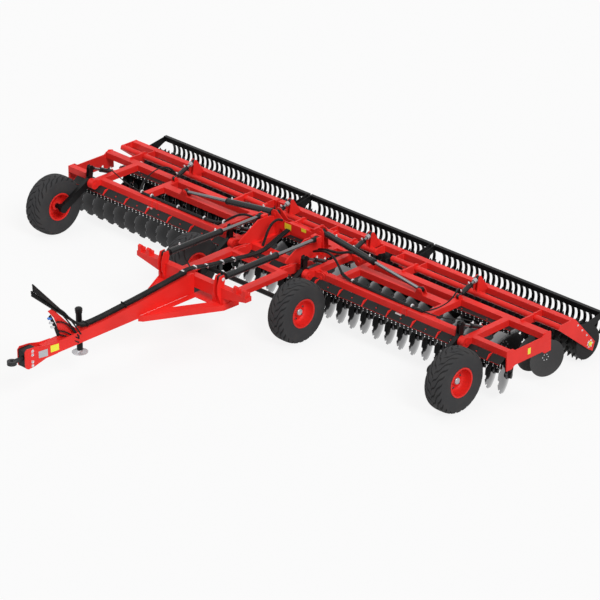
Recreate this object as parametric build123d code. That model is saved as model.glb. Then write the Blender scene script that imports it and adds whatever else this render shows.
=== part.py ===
from build123d import *
import math
import os

os.makedirs("parts", exist_ok=True)

# Towed folding disc harrow. Millimetres. X across the machine, Y towards the rear, Z up from the ground.

# driving dimensions: frame
SPAN = 4700.0                # middle of the machine to the outer face of an end plate
BEAM_Z = (724.0, 824.0)      # underside and top of every frame beam
FRONT_Y = (1505.0, 1605.0)   # front beam
REAR_Y = (2305.0, 2435.0)    # rear beam
FOLD_BEAM_Y = (2005.0, 2145.0)
SECTION_END = 905.0          # where the beams of the middle section stop
WING_START = 1095.0          # where the beams of a wing start
PLATE = 16.0                 # end plates
MID_BEAM = (2980.0, 3090.0)
INNER_BEAM = (1230.0, 1330.0)
INNER_NOSE = (775.0, 865.0)  # on the right; the left one stands further in
LEFT_INNER_NOSE = (-820.0, -730.0)
OUTER_NOSE = (3920.0, 4030.0)

# driving dimensions: hinges and pins
FOLD_X, FOLD_Z = 1000.0, 742.0
FOLD_PIN_R = 25.0
LUG_R = 85.0
NOSE_Y, NOSE_Z = 1395.0, 770.0
NOSE_R = 80.0
NOSE_PIN_R = 30.0
PIN_PLAY = 0.05              # radial play of a pin in a turning hole
SMALL_PIN_R = 18.0           # wheel and depth cylinders
DRAWBAR_PIN_R = 22.0
DEPTH_PIN_Y, DEPTH_PIN_Z = 2298.0, 862.0
LIFT_PIN_Y, LIFT_PIN_Z = 1905.0, 780.0

# driving dimensions: discs
DISC_PITCH = 247.5
DISC_R = 285.0
BORDER_R = 292.0
DISC_DISH = 50.0
DISC_PLATE = 6.0
DISC_Z = 370.0
DISC_ANGLE = 23.0
FRONT_DISC_Y = 1630.0
REAR_DISC_Y = 2335.0
BORDER_DISC_Y = 2445.0
FRONT_DISC_X = -4114.5
REAR_DISC_X = -4206.0
FRONT_HUB = 87.0              # arm's plane behind the rim of a front disc
REAR_HUB = 106.0              # the same behind a rear disc

# driving dimensions: wheels
WHEEL_R = 487.0
WHEEL_Y = 835.0
RIM_R = 215.0
AXLE_R = 40.0

# driving dimensions: rollers
TUBE_Y, TUBE_Z, TUBE_R = 2685.0, 787.0, 47.5
ROLLER_Y, ROLLER_Z = 3352.0, 300.0
ROLLER_R, ROLLER_VALLEY_R = 295.0, 205.0
ROLLER_PITCH = 150.0
ROLLER_AXLE_R = 30.0
SIDE_SPLIT = 1349.0          # inner end of a wing's roller frame
MIDDLE_SPLIT = 1310.0        # outer end of the middle roller frame
TINE_PITCH = 112.5

# driving dimensions: drawbar
BAR_HALF = 75.0
EYE_Y, EYE_Z = -3685.0, 843.0
EYE_BORE_R = 26.0

# driving dimensions: cylinder planes
FOLD_CYL_Y = 2055.0
DRAWBAR_CYL_X = 597.0
MIDDLE_DEPTH_X = 865.0
SIDE_DEPTH_X = 3047.0


def block(x, y, z):
    """Box between pairs of x, y and z limits."""
    size = (x[1] - x[0], y[1] - y[0], z[1] - z[0])
    middle = ((x[0] + x[1]) / 2, (y[0] + y[1]) / 2, (z[0] + z[1]) / 2)
    return Pos(*middle) * Box(*size)


def plate_yz(points, x):
    """Plate with a (y, z) outline between two x limits."""
    face = make_face(Polyline(*points, close=True))
    placed = Plane((x[0], 0, 0), x_dir=(0, 1, 0), z_dir=(1, 0, 0)) * face
    return extrude(placed, amount=x[1] - x[0], dir=(1, 0, 0))


def plate_xz(points, y):
    """Plate with an (x, z) outline between two y limits."""
    face = make_face(Polyline(*points, close=True))
    placed = Plane((0, y[0], 0), x_dir=(1, 0, 0), z_dir=(0, -1, 0)) * face
    return extrude(placed, amount=y[1] - y[0], dir=(0, 1, 0))


def plate_xy(points, z):
    """Plate with an (x, y) outline between two z limits."""
    face = make_face(Polyline(*points, close=True))
    return extrude(Pos(0, 0, z[0]) * face, amount=z[1] - z[0], dir=(0, 0, 1))


def rod(start, end, radius):
    """Round bar between two points."""
    a, b = Vector(*start), Vector(*end)
    bottom = (Align.CENTER, Align.CENTER, Align.MIN)
    return Plane(a, z_dir=b - a) * Cylinder(radius, (b - a).length, align=bottom)


def rod_x(x, y, z, radius):
    return rod((x[0], y, z), (x[1], y, z), radius)


def rod_y(x, y, z, radius):
    return rod((x, y[0], z), (x, y[1], z), radius)


def turned(profile):
    """Solid turned about the X axis from (x, radius) points."""
    return revolve(make_face(Polyline(*profile, close=True)), axis=Axis.X)


def order(a, b):
    return (min(a, b), max(a, b))


def joined(pieces):
    """One solid out of touching pieces."""
    return pieces[0].fuse(*pieces[1:]) if len(pieces) > 1 else pieces[0]


def save(name, pieces):
    solids = []
    for piece in pieces:
        solids.extend(piece.solids())
    export_step(Compound(children=solids, label=name), f"parts/{name}.step")
    print(name, len(solids), "solids")


# ---------------------------------------------------------------- frame pieces

def knuckle(side, y, outward):
    """Fold-hinge lug of a section: a round end on a web, between two y limits."""
    web_end = WING_START + 20 if outward else SECTION_END - 20
    web = block(order(side * FOLD_X, side * web_end), y, (BEAM_Z[0], FOLD_Z + 70))
    return rod_y(side * FOLD_X, y, FOLD_Z, LUG_R) + web


FIXED_KNUCKLES = [(1505.0, 1525.0), (1585.0, 1605.0), (2305.0, 2330.0), (2410.0, 2435.0)]
MOVING_KNUCKLES = [(1535.0, 1575.0), (2345.0, 2395.0)]
FOLD_PINS = [(1491.0, 1612.0), (2291.0, 2442.0)]


def gusset(x, y):
    """Triangular rib under a beam."""
    return plate_yz([(y[0], BEAM_Z[0]), (y[1], BEAM_Z[0]), (y[0], 600)], (x - 6, x + 6))


def ears(x):
    """Lug that carries the round tube of a roller frame behind the rear beam."""
    outline = [(2385, 824), (2400, 850), (2700, 850), (2700, 726), (2435, 724), (2435, 824)]
    arm = plate_yz(outline, (x - 15, x + 15))
    ring = rod_x((x - 15, x + 15), TUBE_Y, TUBE_Z, 75)
    return (arm + ring) - rod_x((x - 20, x + 20), TUBE_Y, TUBE_Z, TUBE_R + PIN_PLAY)


def nose(x):
    """Fore-and-aft beam with a round nose that carries a wheel arm's pin."""
    beam = block(x, (NOSE_Y, REAR_Y[0]), BEAM_Z)
    pin = rod_x((x[0] - 90, x[1] + 12), NOSE_Y, NOSE_Z, NOSE_PIN_R)
    return [beam, rod_x(x, NOSE_Y, NOSE_Z, NOSE_R), pin]


def lift_clevis(x):
    """Bracket for the rear pin of a wheel cylinder, on the -X side of a nose beam that starts at x."""
    middle = x - 45
    sides = []
    for cheek in ((middle - 38, middle - 26), (middle + 26, middle + 45)):
        sides.append(plate_yz([(1870, 740), (1870, 800), (1890, 820), (1930, 820), (1960, 740)], cheek))
    foot = block((middle - 38, x), (1870, 1960), (724, 740))
    return sides + [foot, rod_x((middle - 44, middle + 30), LIFT_PIN_Y, LIFT_PIN_Z, SMALL_PIN_R)]


def depth_clevis(x):
    """Bracket on the rear beam for the lower pin of a depth cylinder."""
    outline = [(2268, 824), (2268, 880), (2285, 898), (2312, 898), (2355, 824)]
    pieces = [plate_yz(outline, cheek) for cheek in ((x - 40, x - 28), (x + 28, x + 40))]
    return pieces + [rod_x((x - 46, x + 46), DEPTH_PIN_Y, DEPTH_PIN_Z, SMALL_PIN_R)]


def front_gussets(numbers):
    return [gusset(FRONT_DISC_X + DISC_PITCH * k - 120.5, FRONT_Y) for k in numbers]


def rear_gussets(numbers):
    return [gusset(REAR_DISC_X + DISC_PITCH * k + 190, REAR_Y) for k in numbers]


# ---------------------------------------------------------------- middle section

middle = [
    block((-SECTION_END, 580), FRONT_Y, BEAM_Z),
    block((INNER_NOSE[0], SECTION_END), FRONT_Y, BEAM_Z),
    block((-SECTION_END, SECTION_END), REAR_Y, BEAM_Z),
]
for inner in (INNER_NOSE, LEFT_INNER_NOSE):
    middle += nose(inner) + lift_clevis(inner[0])
PIVOT_LUG = [(NOSE_Y, 700), (NOSE_Y, 840), (1505, 824), (1620, 824), (1620, 724), (1505, 724)]
for side in (-1, 1):
    middle.append(block(order(side * 450, side * 550), (FRONT_Y[1], REAR_Y[0]), BEAM_Z))
    middle.append(plate_yz(PIVOT_LUG, order(side * 485, side * 515)))
    middle.append(rod_x(order(side * 485, side * 515), NOSE_Y, NOSE_Z, 70))
    middle.append(rod_x(order(side * 455, side * 545), NOSE_Y, NOSE_Z, NOSE_PIN_R))
    for y in FIXED_KNUCKLES:
        middle.append(knuckle(side, y, False))
    for y in FOLD_PINS:
        middle.append(rod_y(side * FOLD_X, y, FOLD_Z, FOLD_PIN_R))
    middle.append(ears(side * 550))
    middle.append(ears(side * 150))
    middle += depth_clevis(side * MIDDLE_DEPTH_X)
middle += front_gussets((15, 17, 19)) + rear_gussets((14, 16, 18))
save("centre_frame", [joined(middle)])

# mast: two side plates, two cross plates whose peaks hold the fold cylinders, drawbar cylinder brackets
CROSS_FRONT = (2003.0, 2015.0)
CROSS_REAR = (2095.0, 2107.0)
FOLD_BASE_X, FOLD_BASE_Z = 490.0, 1161.0
SIDE_OUTLINE = [(1245, 905), (1250, 935), (1661, 1164), (1900, 1150), (2003, 1120), (2003, 824), (1520, 824)]
CROSS_HALF = [(300, 1110), (400, 1190), (455, 1230), (525, 1230)]
CROSS_HALF += [(560, 1180), (560, 824), (430, 824), (380, 950)]
CROSS_OUTLINE = CROSS_HALF + [(-x, z) for x, z in reversed(CROSS_HALF)]
mast = []
for y in (CROSS_FRONT, CROSS_REAR):
    mast.append(plate_xz(CROSS_OUTLINE, y))
mast.append(block((-200, 200), (CROSS_FRONT[1], CROSS_REAR[0]), (960, 1100)))
for side in (-1, 1):
    mast.append(plate_yz(SIDE_OUTLINE, order(side * 490, side * 510)))
    mast.append(block(order(side * 505, side * 649), (1862, 1880), (1105, 1190)))
    for cheek in ((505.0, 560.0), (634.0, 649.0)):
        ear = plate_yz([(1775, 1130), (1775, 1180), (1795, 1195), (1880, 1195), (1880, 1100), (1800, 1100)],
                       order(side * cheek[0], side * cheek[1]))
        mast.append(ear)
    mast.append(rod_x(order(side * 550, side * 657), 1813, 1155, DRAWBAR_PIN_R))
    pin_z = FOLD_BASE_Z
    mast.append(rod_y(side * FOLD_BASE_X, (CROSS_FRONT[0] - 8, CROSS_REAR[1] + 8), pin_z, FOLD_PIN_R))
    mast.append(block(order(side * 430, side * 560), (CROSS_FRONT[1], CROSS_REAR[0]), (824, 850)))
save("mast", [joined(mast)])


# ---------------------------------------------------------------- wings

def wing(side):
    """Frame of one wing; the opening for the wheel arm lies on the -X side of the nose beam."""
    front = [(WING_START, 3700.0)] if side > 0 else [(WING_START, OUTER_NOSE[0] + 10), (4285.0, SPAN - 8)]
    if side > 0:
        front.append((OUTER_NOSE[0] + 50, SPAN - 8))
    pieces = [block(order(side * a, side * b), FRONT_Y, BEAM_Z) for a, b in front]
    pieces.append(block(order(side * WING_START, side * (SPAN - 8)), REAR_Y, BEAM_Z))
    for beam in (MID_BEAM, INNER_BEAM):
        pieces.append(block(order(side * beam[0], side * beam[1]), (FRONT_Y[1], REAR_Y[0]), BEAM_Z))
    pieces.append(block(order(side * INNER_BEAM[1], side * MID_BEAM[0]), FOLD_BEAM_Y, BEAM_Z))
    outer = order(side * OUTER_NOSE[0], side * OUTER_NOSE[1])
    pieces += nose(outer) + lift_clevis(outer[0])
    end_plate = [(1505, 824), (1640, 824), (1695, 783), (2269, 784), (2377, 843), (2462, 820)]
    end_plate += [(2471, 512), (2338, 503), (2281, 548), (1688, 553), (1619, 509), (1505, 511)]
    pieces.append(plate_yz(end_plate, order(side * (SPAN - PLATE), side * SPAN)))
    for y in MOVING_KNUCKLES:
        hole = rod_y(side * FOLD_X, (y[0] - 5, y[1] + 5), FOLD_Z, FOLD_PIN_R + PIN_PLAY)
        pieces.append(knuckle(side, y, True) - hole)
    for x in (1830.0, 4190.0):
        pieces.append(ears(side * x))
    pieces += depth_clevis(side * SIDE_DEPTH_X)
    for y in ((FOLD_CYL_Y - 48, FOLD_CYL_Y - 36), (FOLD_CYL_Y + 36, FOLD_CYL_Y + 48)):
        cheek = [(2445, 824), (2480, 900), (2505, 918), (2545, 918), (2570, 900), (2610, 824)]
        pieces.append(plate_xz([(side * x, z) for x, z in cheek], y))
        cap = (y[0] - 10, y[0] + 2) if y[0] < FOLD_CYL_Y else (y[1] - 2, y[1] + 10)
        pieces.append(rod_y(side * 2525, cap, 878, 28))
    front_numbers = (23, 25, 27, 29, 31, 33, 35) if side > 0 else (2, 4, 6, 8, 10, 12)
    rear_numbers = (22, 24, 26, 28, 30, 32) if side > 0 else (1, 3, 5, 7, 9, 11)
    pieces += front_gussets(front_numbers) + rear_gussets(rear_numbers)
    return joined(pieces)


save("left_wing_frame", [wing(-1)])
save("right_wing_frame", [wing(1)])


# ---------------------------------------------------------------- discs

def disc_solid(radius, notches):
    """Dished disc opening towards +X, rim in the plane x = 0, with a flange on its back."""
    def arc(depth, rim_x):
        sphere = (radius ** 2 + DISC_DISH ** 2) / (2 * DISC_DISH)
        half = radius / 2
        sag = sphere - math.sqrt(sphere ** 2 - half ** 2)
        return ThreePointArc((depth, 0), (depth + sag, half), (rim_x, radius))
    inner = arc(-DISC_DISH, 0)
    outer = arc(-DISC_DISH - DISC_PLATE, -DISC_PLATE)
    rim = Line((0, radius), (-DISC_PLATE, radius))
    axis_line = Line((-DISC_DISH - DISC_PLATE, 0), (-DISC_DISH, 0))
    shell = revolve(make_face(Wire([inner, rim, outer, axis_line])), axis=Axis.X)
    flange = rod_x((-DISC_DISH - 20, -DISC_DISH - 2), 0, 0, 62)
    solid = shell + flange
    cutters = []
    for n in range(notches):
        turn = math.radians(360.0 * n / notches)
        cutters.append(rod_x((-40, 20), radius * 1.03 * math.cos(turn), radius * 1.03 * math.sin(turn), 36))
    return solid.cut(*cutters) if cutters else solid


NOTCHED = disc_solid(DISC_R, 10)
PLAIN = disc_solid(BORDER_R, 0)
HUB_DEPTH = DISC_DISH + 20


def placed(solid, x, y, turn):
    return Pos(x, y, DISC_Z) * Rot(0, 0, turn) * solid


# A left front disc opens towards +X and forwards, and the rest of the front row towards -X and forwards.
# In each section the rear discs open the other way.
FACING = {"left": 1, "centre": -1, "right": -1}
BORDER_TURN = 6.0


def turn_of(facing):
    """Angle about Z for a disc that opens towards facing * X and forwards."""
    return -DISC_ANGLE if facing > 0 else 180.0 + DISC_ANGLE


def disc_places(section, front, rear):
    """(x, y, turn, facing) of every disc of a section, from its numbers along each row."""
    row = []
    for first, numbers, y, facing in ((FRONT_DISC_X, front, FRONT_DISC_Y, FACING[section]),
                                      (REAR_DISC_X, rear, REAR_DISC_Y, -FACING[section])):
        row += [(first + DISC_PITCH * k, y, turn_of(facing), facing) for k in numbers]
    return row


ROWS = {
    "left": disc_places("left", range(-1, 13), range(0, 13)),
    "centre": disc_places("centre", range(13, 21), range(14, 21)),
    "right": disc_places("right", range(21, 36), range(22, 34)),
}
BORDER = [(4400.0, BORDER_DISC_Y, BORDER_TURN, 1), (4655.0, BORDER_DISC_Y, BORDER_TURN, 1)]
# bars that bridge the gaps in the front beams
BRIDGES = {"left": (-4285.0, -4030.0), "centre": (580.0, 775.0), "right": (3700.0, 3920.0)}


def disc_arm(x, y, turn, facing):
    """Clamp block under the beam, curved arm and bearing housing behind one disc."""
    beam_y, depth = (FRONT_Y, FRONT_HUB) if y < 2000 else (REAR_Y, REAR_HUB)
    back = Vector(-depth, 0, 0).rotate(Axis.Z, turn)
    hub_x, hub_y = x + back.X, y + back.Y
    middle_y = (beam_y[0] + beam_y[1]) / 2
    outline = [(middle_y - 38, 650), (middle_y + 38, 650), (hub_y + 62, 520), (hub_y + 62, 470)]
    outline += [(hub_y + 40, 345), (hub_y - 35, 340), (hub_y - 28, 530), (middle_y - 38, 606)]
    clamp = block((hub_x - 30, hub_x + 30), (middle_y - 48, middle_y + 48), (638, BEAM_Z[0]))
    for side in (-1, 1):
        clamp -= rod_y(side * FOLD_X, (beam_y[0] - 5, beam_y[1] + 5), FOLD_Z, LUG_R + 1.5)
    pieces = [placed(rod_x((-depth - 30, -HUB_DEPTH), 0, 0, 46), x, y, turn)]
    seat = placed(rod_x((-HUB_DEPTH, 0), 0, 0, 80), x, y, turn)
    pieces.append(plate_yz(outline, (hub_x - 12, hub_x + 12)) - seat)
    pieces.append(clamp)
    apron_x = order(hub_x - 30 * facing, hub_x - 8 * facing)
    pieces.append(block(apron_x, (middle_y - 48, middle_y - 36), (560, 640)))
    return joined(pieces)


for name, row in ROWS.items():
    discs = [placed(NOTCHED, *place[:3]) for place in row]
    arms = [disc_arm(*place) for place in row]
    if name == "right":
        discs += [placed(PLAIN, *place[:3]) for place in BORDER]
        arms += [disc_arm(*place) for place in BORDER]
    arms.append(block(BRIDGES[name], (1515, 1595), (BEAM_Z[0], 758)))
    save(f"{name}_discs", discs)
    save(f"{name}_disc_arms", [joined(arms)])


# ---------------------------------------------------------------- wheel arms and wheels

LIFT_EYE_Y, LIFT_EYE_Z = 1425.0, 1010.0
WHEELS = {"left": (-4075.0, -4300.0), "centre_left": (-865.0, -1150.0),
          "centre_right": (730.0, 1150.0), "right": (3875.0, 4300.0)}


def wheel_arm(arm_x, wheel_x):
    """Arm from the nose pin to the hub, with a forked lever for the lift cylinder and a stub axle."""
    x = (arm_x - 35, arm_x + 35)
    outline = [(1450, 712), (1448, 830), (1365, 845), (1330, 820)]
    outline += [(800, 540), (790, 450), (850, 425), (1340, 690)]
    arm = plate_yz(outline, x)
    arm += rod_x(x, NOSE_Y, NOSE_Z, 78)
    arm += rod_x(x, WHEEL_Y, WHEEL_R, 72)
    lever = plate_yz([(1360, 760), (1435, 760), (1468, 1000), (1450, 1050), (1400, 1050), (1382, 1000)], x)
    slot = block((arm_x - 24, arm_x + 24), (1300, 1550), (866, 1100))
    arm += lever - slot
    arm += rod_x((x[0] - 6, x[1] + 6), LIFT_EYE_Y, LIFT_EYE_Z, SMALL_PIN_R)
    arm -= rod_x((x[0] - 10, x[1] + 10), NOSE_Y, NOSE_Z, NOSE_PIN_R + PIN_PLAY)
    face, tip = (x[0], wheel_x - 50) if wheel_x < arm_x else (x[1], wheel_x + 50)
    return arm + rod_x(order(face, tip), WHEEL_Y, WHEEL_R, AXLE_R)


TYRE = [(-144, RIM_R), (-146, 236), (-172, 300), (-170, 400), (-152, 452), (-112, 478), (-50, WHEEL_R)]
TYRE += [(50, WHEEL_R), (112, 478)]
TYRE += [(152, 452), (170, 400), (172, 300), (146, 236), (144, RIM_R)]
RIM = [(-155, RIM_R - 12), (-155, RIM_R + 14), (-150, RIM_R + 14), (-150, RIM_R), (150, RIM_R)]
RIM += [(150, RIM_R + 14), (155, RIM_R + 14), (155, RIM_R - 12), (60, RIM_R - 25), (45, 130)]
RIM += [(75, 112), (75, 62), (130, 55), (130, 0)]
RIM += [(54, 0), (54, AXLE_R + PIN_PLAY), (-70, AXLE_R + PIN_PLAY), (-70, 75), (20, 75), (20, 130)]
RIM += [(36, RIM_R - 25), (-120, RIM_R - 12)]

for name, (arm_x, wheel_x) in WHEELS.items():
    turn = 0 if wheel_x > arm_x else 180
    seat = Pos(wheel_x, WHEEL_Y, WHEEL_R) * Rot(0, 0, turn)
    save(f"{name}_tyre", [seat * turned(TYRE)])
    save(f"{name}_rim", [seat * turned(RIM)])
save("left_wheel_arm", [wheel_arm(*WHEELS["left"])])
save("right_wheel_arm", [wheel_arm(*WHEELS["right"])])
tie = rod_x((-835, 700), 905, 512, 38)
middle_arms = [wheel_arm(*WHEELS[name]) for name in ("centre_left", "centre_right")]
save("centre_wheel_arms", [joined(middle_arms + [tie])])


# ---------------------------------------------------------------- roller frames, scrapers and rollers

ROLLER_BEAM_Y = (2885.0, 2985.0)
ROLLER_BEAM_Z = (730.0, 830.0)
OUTER_CHEEK = [(2653, 831), (2985, 832), (3464, 303), (3420, 161), (3330, 215), (2632, 771)]
INNER_CHEEK = [(2885, 831), (2985, 832), (3464, 303), (3420, 161), (3330, 215), (2885, 575)]
RIB = [(2650, 740), (2650, 832), (2885, 832), (2885, 700), (2740, 735)]
DEPTH_EYE_Y, DEPTH_EYE_Z = 2727.0, 1031.0


def roller_frame(low, high, ribs, levers, cheeks, tube):
    """Tube, rear beam, cheek plates with bearing holes, ribs and forked levers of one roller frame."""
    pieces = [block((low, high), ROLLER_BEAM_Y, ROLLER_BEAM_Z), rod_x(tube, TUBE_Y, TUBE_Z, TUBE_R)]
    for x in ribs:
        pieces.append(plate_yz(RIB, (x - 8, x + 8)))
    for start, outline in cheeks:
        pieces.append(plate_yz(outline, (start, start + PLATE)))
        pieces.append(rod_x((start - 1, start + PLATE + 1), ROLLER_Y, ROLLER_Z, 62))
    for x in levers:
        for cheek in ((x - 40, x - 28), (x + 28, x + 40)):
            fork = [(2650, 780), (2690, 1025), (2710, 1060), (2750, 1060), (2770, 1025)]
            fork += [(2900, 832), (2890, 800)]
            pieces.append(plate_yz(fork, cheek))
        pieces.append(rod_x((x - 46, x + 46), DEPTH_EYE_Y, DEPTH_EYE_Z, SMALL_PIN_R))
    frame = joined(pieces)
    bore_r = ROLLER_AXLE_R + PIN_PLAY
    holes = [rod_x((start - 5, start + PLATE + 5), ROLLER_Y, ROLLER_Z, bore_r) for start, _ in cheeks]
    return frame.cut(*holes)


def roller(low, high):
    """Ring roller between two x limits, with a stub axle at each end."""
    count = round((high - low) / ROLLER_PITCH)
    pitch = (high - low) / count
    outside, inside = [(low, ROLLER_VALLEY_R)], []
    for n in range(count):
        start = low + pitch * n
        outside += [(start + pitch * 0.42, ROLLER_R), (start + pitch * 0.58, ROLLER_R)]
        outside.append((start + pitch, ROLLER_VALLEY_R))
    for x, radius in outside[1:-1]:
        inside.append((x, radius - 14))
    shell = outside + [(high, ROLLER_AXLE_R), (high - 14, ROLLER_AXLE_R), (high - 14, ROLLER_VALLEY_R - 14)]
    shell += inside[::-1]
    shell += [(low + 14, ROLLER_VALLEY_R - 14), (low + 14, ROLLER_AXLE_R), (low, ROLLER_AXLE_R)]
    body = turned(shell)
    for x in (low, high - 14):
        for n in range(4):
            turn = math.radians(90.0 * n + 45.0)
            body -= rod_x((x - 5, x + 19), 120 * math.cos(turn), 120 * math.sin(turn), 45)
    for x in ((low - 38, low + 60), (high - 60, high + 38)):
        body += rod_x(x, 0, 0, ROLLER_AXLE_R)
    return Pos(0, ROLLER_Y, ROLLER_Z) * body


SCRAPER_BAR_Y = (3595.0, 3655.0)
SCRAPER_BAR_Z = (632.0, 712.0)


def tine():
    """C-shaped scraper blade, 50 mm wide, hanging from the bar behind the roller."""
    def curve(radius, *degrees):
        turns = [math.radians(angle) for angle in degrees]
        points = [(3560 + radius * math.cos(turn), 462 + radius * math.sin(turn)) for turn in turns]
        return ThreePointArc(*points)
    outer = curve(195.0, 75, 0, -50)
    inner = curve(181.0, -50, 0, 75)
    face = make_face(Wire([outer, Line(outer @ 1, inner @ 0), inner, Line(inner @ 1, outer @ 0)]))
    return Pos(-25, 0, 0) * extrude(Plane.YZ * face, 50)


TINE = tine()
HANGER = [(3150, 640), (3600, 712), (3655, 712), (3655, 632), (3560, 600), (3300, 470), (3170, 600)]


def scraper(low, high, hangers):
    """Bar with its tines and the hangers that carry it from the cheek plates."""
    count = int((high - low - 90) // TINE_PITCH)
    start = (low + high - TINE_PITCH * count) / 2
    pieces = [block((low, high), SCRAPER_BAR_Y, SCRAPER_BAR_Z)]
    pieces += [Pos(start + TINE_PITCH * n, 0, 0) * TINE for n in range(count + 1)]
    for x in hangers:
        pieces.append(plate_yz(HANGER, x))
    return joined(pieces)


OUT, IN = SPAN - PLATE, SIDE_SPLIT
# name: low, high, ribs, levers, cheeks, tube, hangers
ROLLER_FRAMES = {
    "centre": (-MIDDLE_SPLIT, MIDDLE_SPLIT, (-1000, 0, 1000), (-MIDDLE_DEPTH_X, MIDDLE_DEPTH_X),
               [(-MIDDLE_SPLIT, INNER_CHEEK), (MIDDLE_SPLIT - PLATE, INNER_CHEEK)], (-1040, 1040),
               [(-MIDDLE_SPLIT + PLATE, -MIDDLE_SPLIT + PLATE + 8),
                (MIDDLE_SPLIT - PLATE - 8, MIDDLE_SPLIT - PLATE)]),
    "right": (IN, SPAN, (1400, 1872, 3047, 4150), (SIDE_DEPTH_X,), [(IN, INNER_CHEEK), (OUT, OUTER_CHEEK)],
              (IN, SPAN), [(IN + PLATE, IN + PLATE + 8), (OUT - 8, OUT)]),
    "left": (-SPAN, -IN, (-4150, -3047, -1872, -1400), (-SIDE_DEPTH_X,),
             [(-SPAN, OUTER_CHEEK), (-IN - PLATE, INNER_CHEEK)], (-SPAN, -IN),
             [(-OUT, -OUT + 8), (-IN - PLATE - 8, -IN - PLATE)]),
}
for name, (low, high, ribs, levers, cheeks, tube, hangers) in ROLLER_FRAMES.items():
    save(f"{name}_roller_frame", [roller_frame(low, high, ribs, levers, cheeks, tube)])
    save(f"{name}_scraper", [scraper(low, high, hangers)])
    save(f"{name}_roller", [roller(low + 40, high - 40)])


# ---------------------------------------------------------------- drawbar

# spine side outline, (y, z), from the hitch back to the crossbeam
SPINE = [(-3135, 742), (-3135, 915), (-2845, 922), (-1985, 938), (-1105, 1010), (-305, 1094), (-225, 1094)]
SPINE += [(-225, 780), (-1308, 780), (-1318, 742)]
CHEEK = [(-3495, 705), (-3510, 740), (-3510, 960), (-3470, 1000), (-3300, 985), (-3100, 935), (-2900, 922)]
CHEEK += [(-2900, 742), (-3120, 742), (-3330, 690), (-3450, 680)]
beam = [plate_yz(SPINE, (-BAR_HALF, BAR_HALF))]
for side in (-1, 1):
    beam.append(plate_yz(CHEEK, order(side * (BAR_HALF - 2), side * (BAR_HALF + 10))))
save("drawbar_beam", [joined(beam)])

# deck: a V of plate with an upright flange along its edges
DECK_HALF = [(75, -1308), (137, -1308), (710, -226), (720, 69), (75, 69)]
DECK_HOLE = [(179, -811), (452, -304), (179, -304)]
CROSS = [(-1170, 980), (-1170, 1055), (1170, 1055), (1170, 980), (600, 870), (-600, 870)]
CROSS_Y = (-225.0, -110.0)
ARM_X = (487.0, 638.0)
ARM_Z = (758.0, 834.0)
frame = [plate_xz(CROSS, CROSS_Y)]
for side in (-1, 1):
    deck = plate_xy([(side * x, y) for x, y in DECK_HALF], (765, 778))
    deck -= plate_xy([(side * x, y) for x, y in DECK_HOLE], (760, 785))
    frame.append(deck)
    flange = [(75, -1350), (137, -1308), (710, -226), (720, 69), (704, 69), (696, -220)]
    flange += [(128, -1294), (77, -1330)]
    frame.append(plate_xy([(side * x, y) for x, y in flange], (700, 790)))
    frame.append(block(order(side * 460, side * 700), CROSS_Y, (778, 880)))
    frame.append(block(order(side * ARM_X[0], side * ARM_X[1]), (CROSS_Y[1], 1170), ARM_Z))
    for cheek in ((457.0, 479.0), (521.0, 543.0)):
        lug = plate_yz([(1150, 758), (1150, 834), (1200, 850), (1440, 826), (1395, 700), (1330, 715)],
                       order(side * cheek[0], side * cheek[1]))
        lug += rod_x(order(side * cheek[0], side * cheek[1]), NOSE_Y, NOSE_Z, 70)
        frame.append(lug)
    horn = [(-225, 740), (-235, 830), (-290, 960), (-292, 1080), (-240, 1228), (-150, 1230)]
    horn += [(-130, 1150), (-150, 1060), (-205, 1000), (-205, 740)]
    for cheek in ((551.0, 563.0), (631.0, 643.0)):
        frame.append(plate_yz(horn, order(side * cheek[0], side * cheek[1])))
    frame.append(rod_x(order(side * 545, side * 649), -180, 1176, DRAWBAR_PIN_R))
    for hook_x in (905.0, 1090.0):
        hook = [(-222, 1050), (-222, 1150), (-190, 1168), (-160, 1140), (-160, 1105)]
        hook += [(-112, 1105), (-112, 1050)]
        frame.append(plate_yz(hook, order(side * hook_x, side * (hook_x + 60))))
frame.append(block((-ARM_X[1], ARM_X[1]), (1090, 1170), ARM_Z))
drawbar_frame = joined(frame)
bores = [rod_x(order(side * 440, side * 560), NOSE_Y, NOSE_Z, NOSE_PIN_R + PIN_PLAY) for side in (-1, 1)]
save("drawbar_frame", [drawbar_frame.cut(*bores)])

save("hitch_block", [block((-72, 72), (-3500, -3290), (715, 970))])
ring = Pos(0, EYE_Y, EYE_Z) * Cylinder(70, 56) + rod((0, EYE_Y + 45, EYE_Z), (0, -3500, EYE_Z), 34)
ring -= Pos(0, EYE_Y, EYE_Z) * Cylinder(EYE_BORE_R, 80)
save("towing_eye", [ring])

JACK_X, JACK_Y = -170.0, -2270.0
tube = rod((JACK_X, JACK_Y, 490), (JACK_X, JACK_Y, 1080), 45)
tube += block((JACK_X + 30, -75), (-2330, -2210), (790, 900))
tube += rod((JACK_X, JACK_Y, 1080), (JACK_X, JACK_Y, 1105), 52)
save("jack_tube", [tube - rod((JACK_X, JACK_Y, 480), (JACK_X, JACK_Y, 1060), 37.05)])
leg = rod((JACK_X, JACK_Y, 450), (JACK_X, JACK_Y, 1050), 37)
leg += rod((JACK_X, JACK_Y, 440), (JACK_X, JACK_Y, 450), 90)
save("jack_leg", [leg])

rack = [(-2840, 922.3), (-2827, 1119), (-2885, 1270), (-2990, 1406), (-2905, 1420)]
rack += [(-2630, 1101), (-2440, 929.6)]
save("hose_rack", [plate_yz(rack, (-6, 6))])

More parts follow.
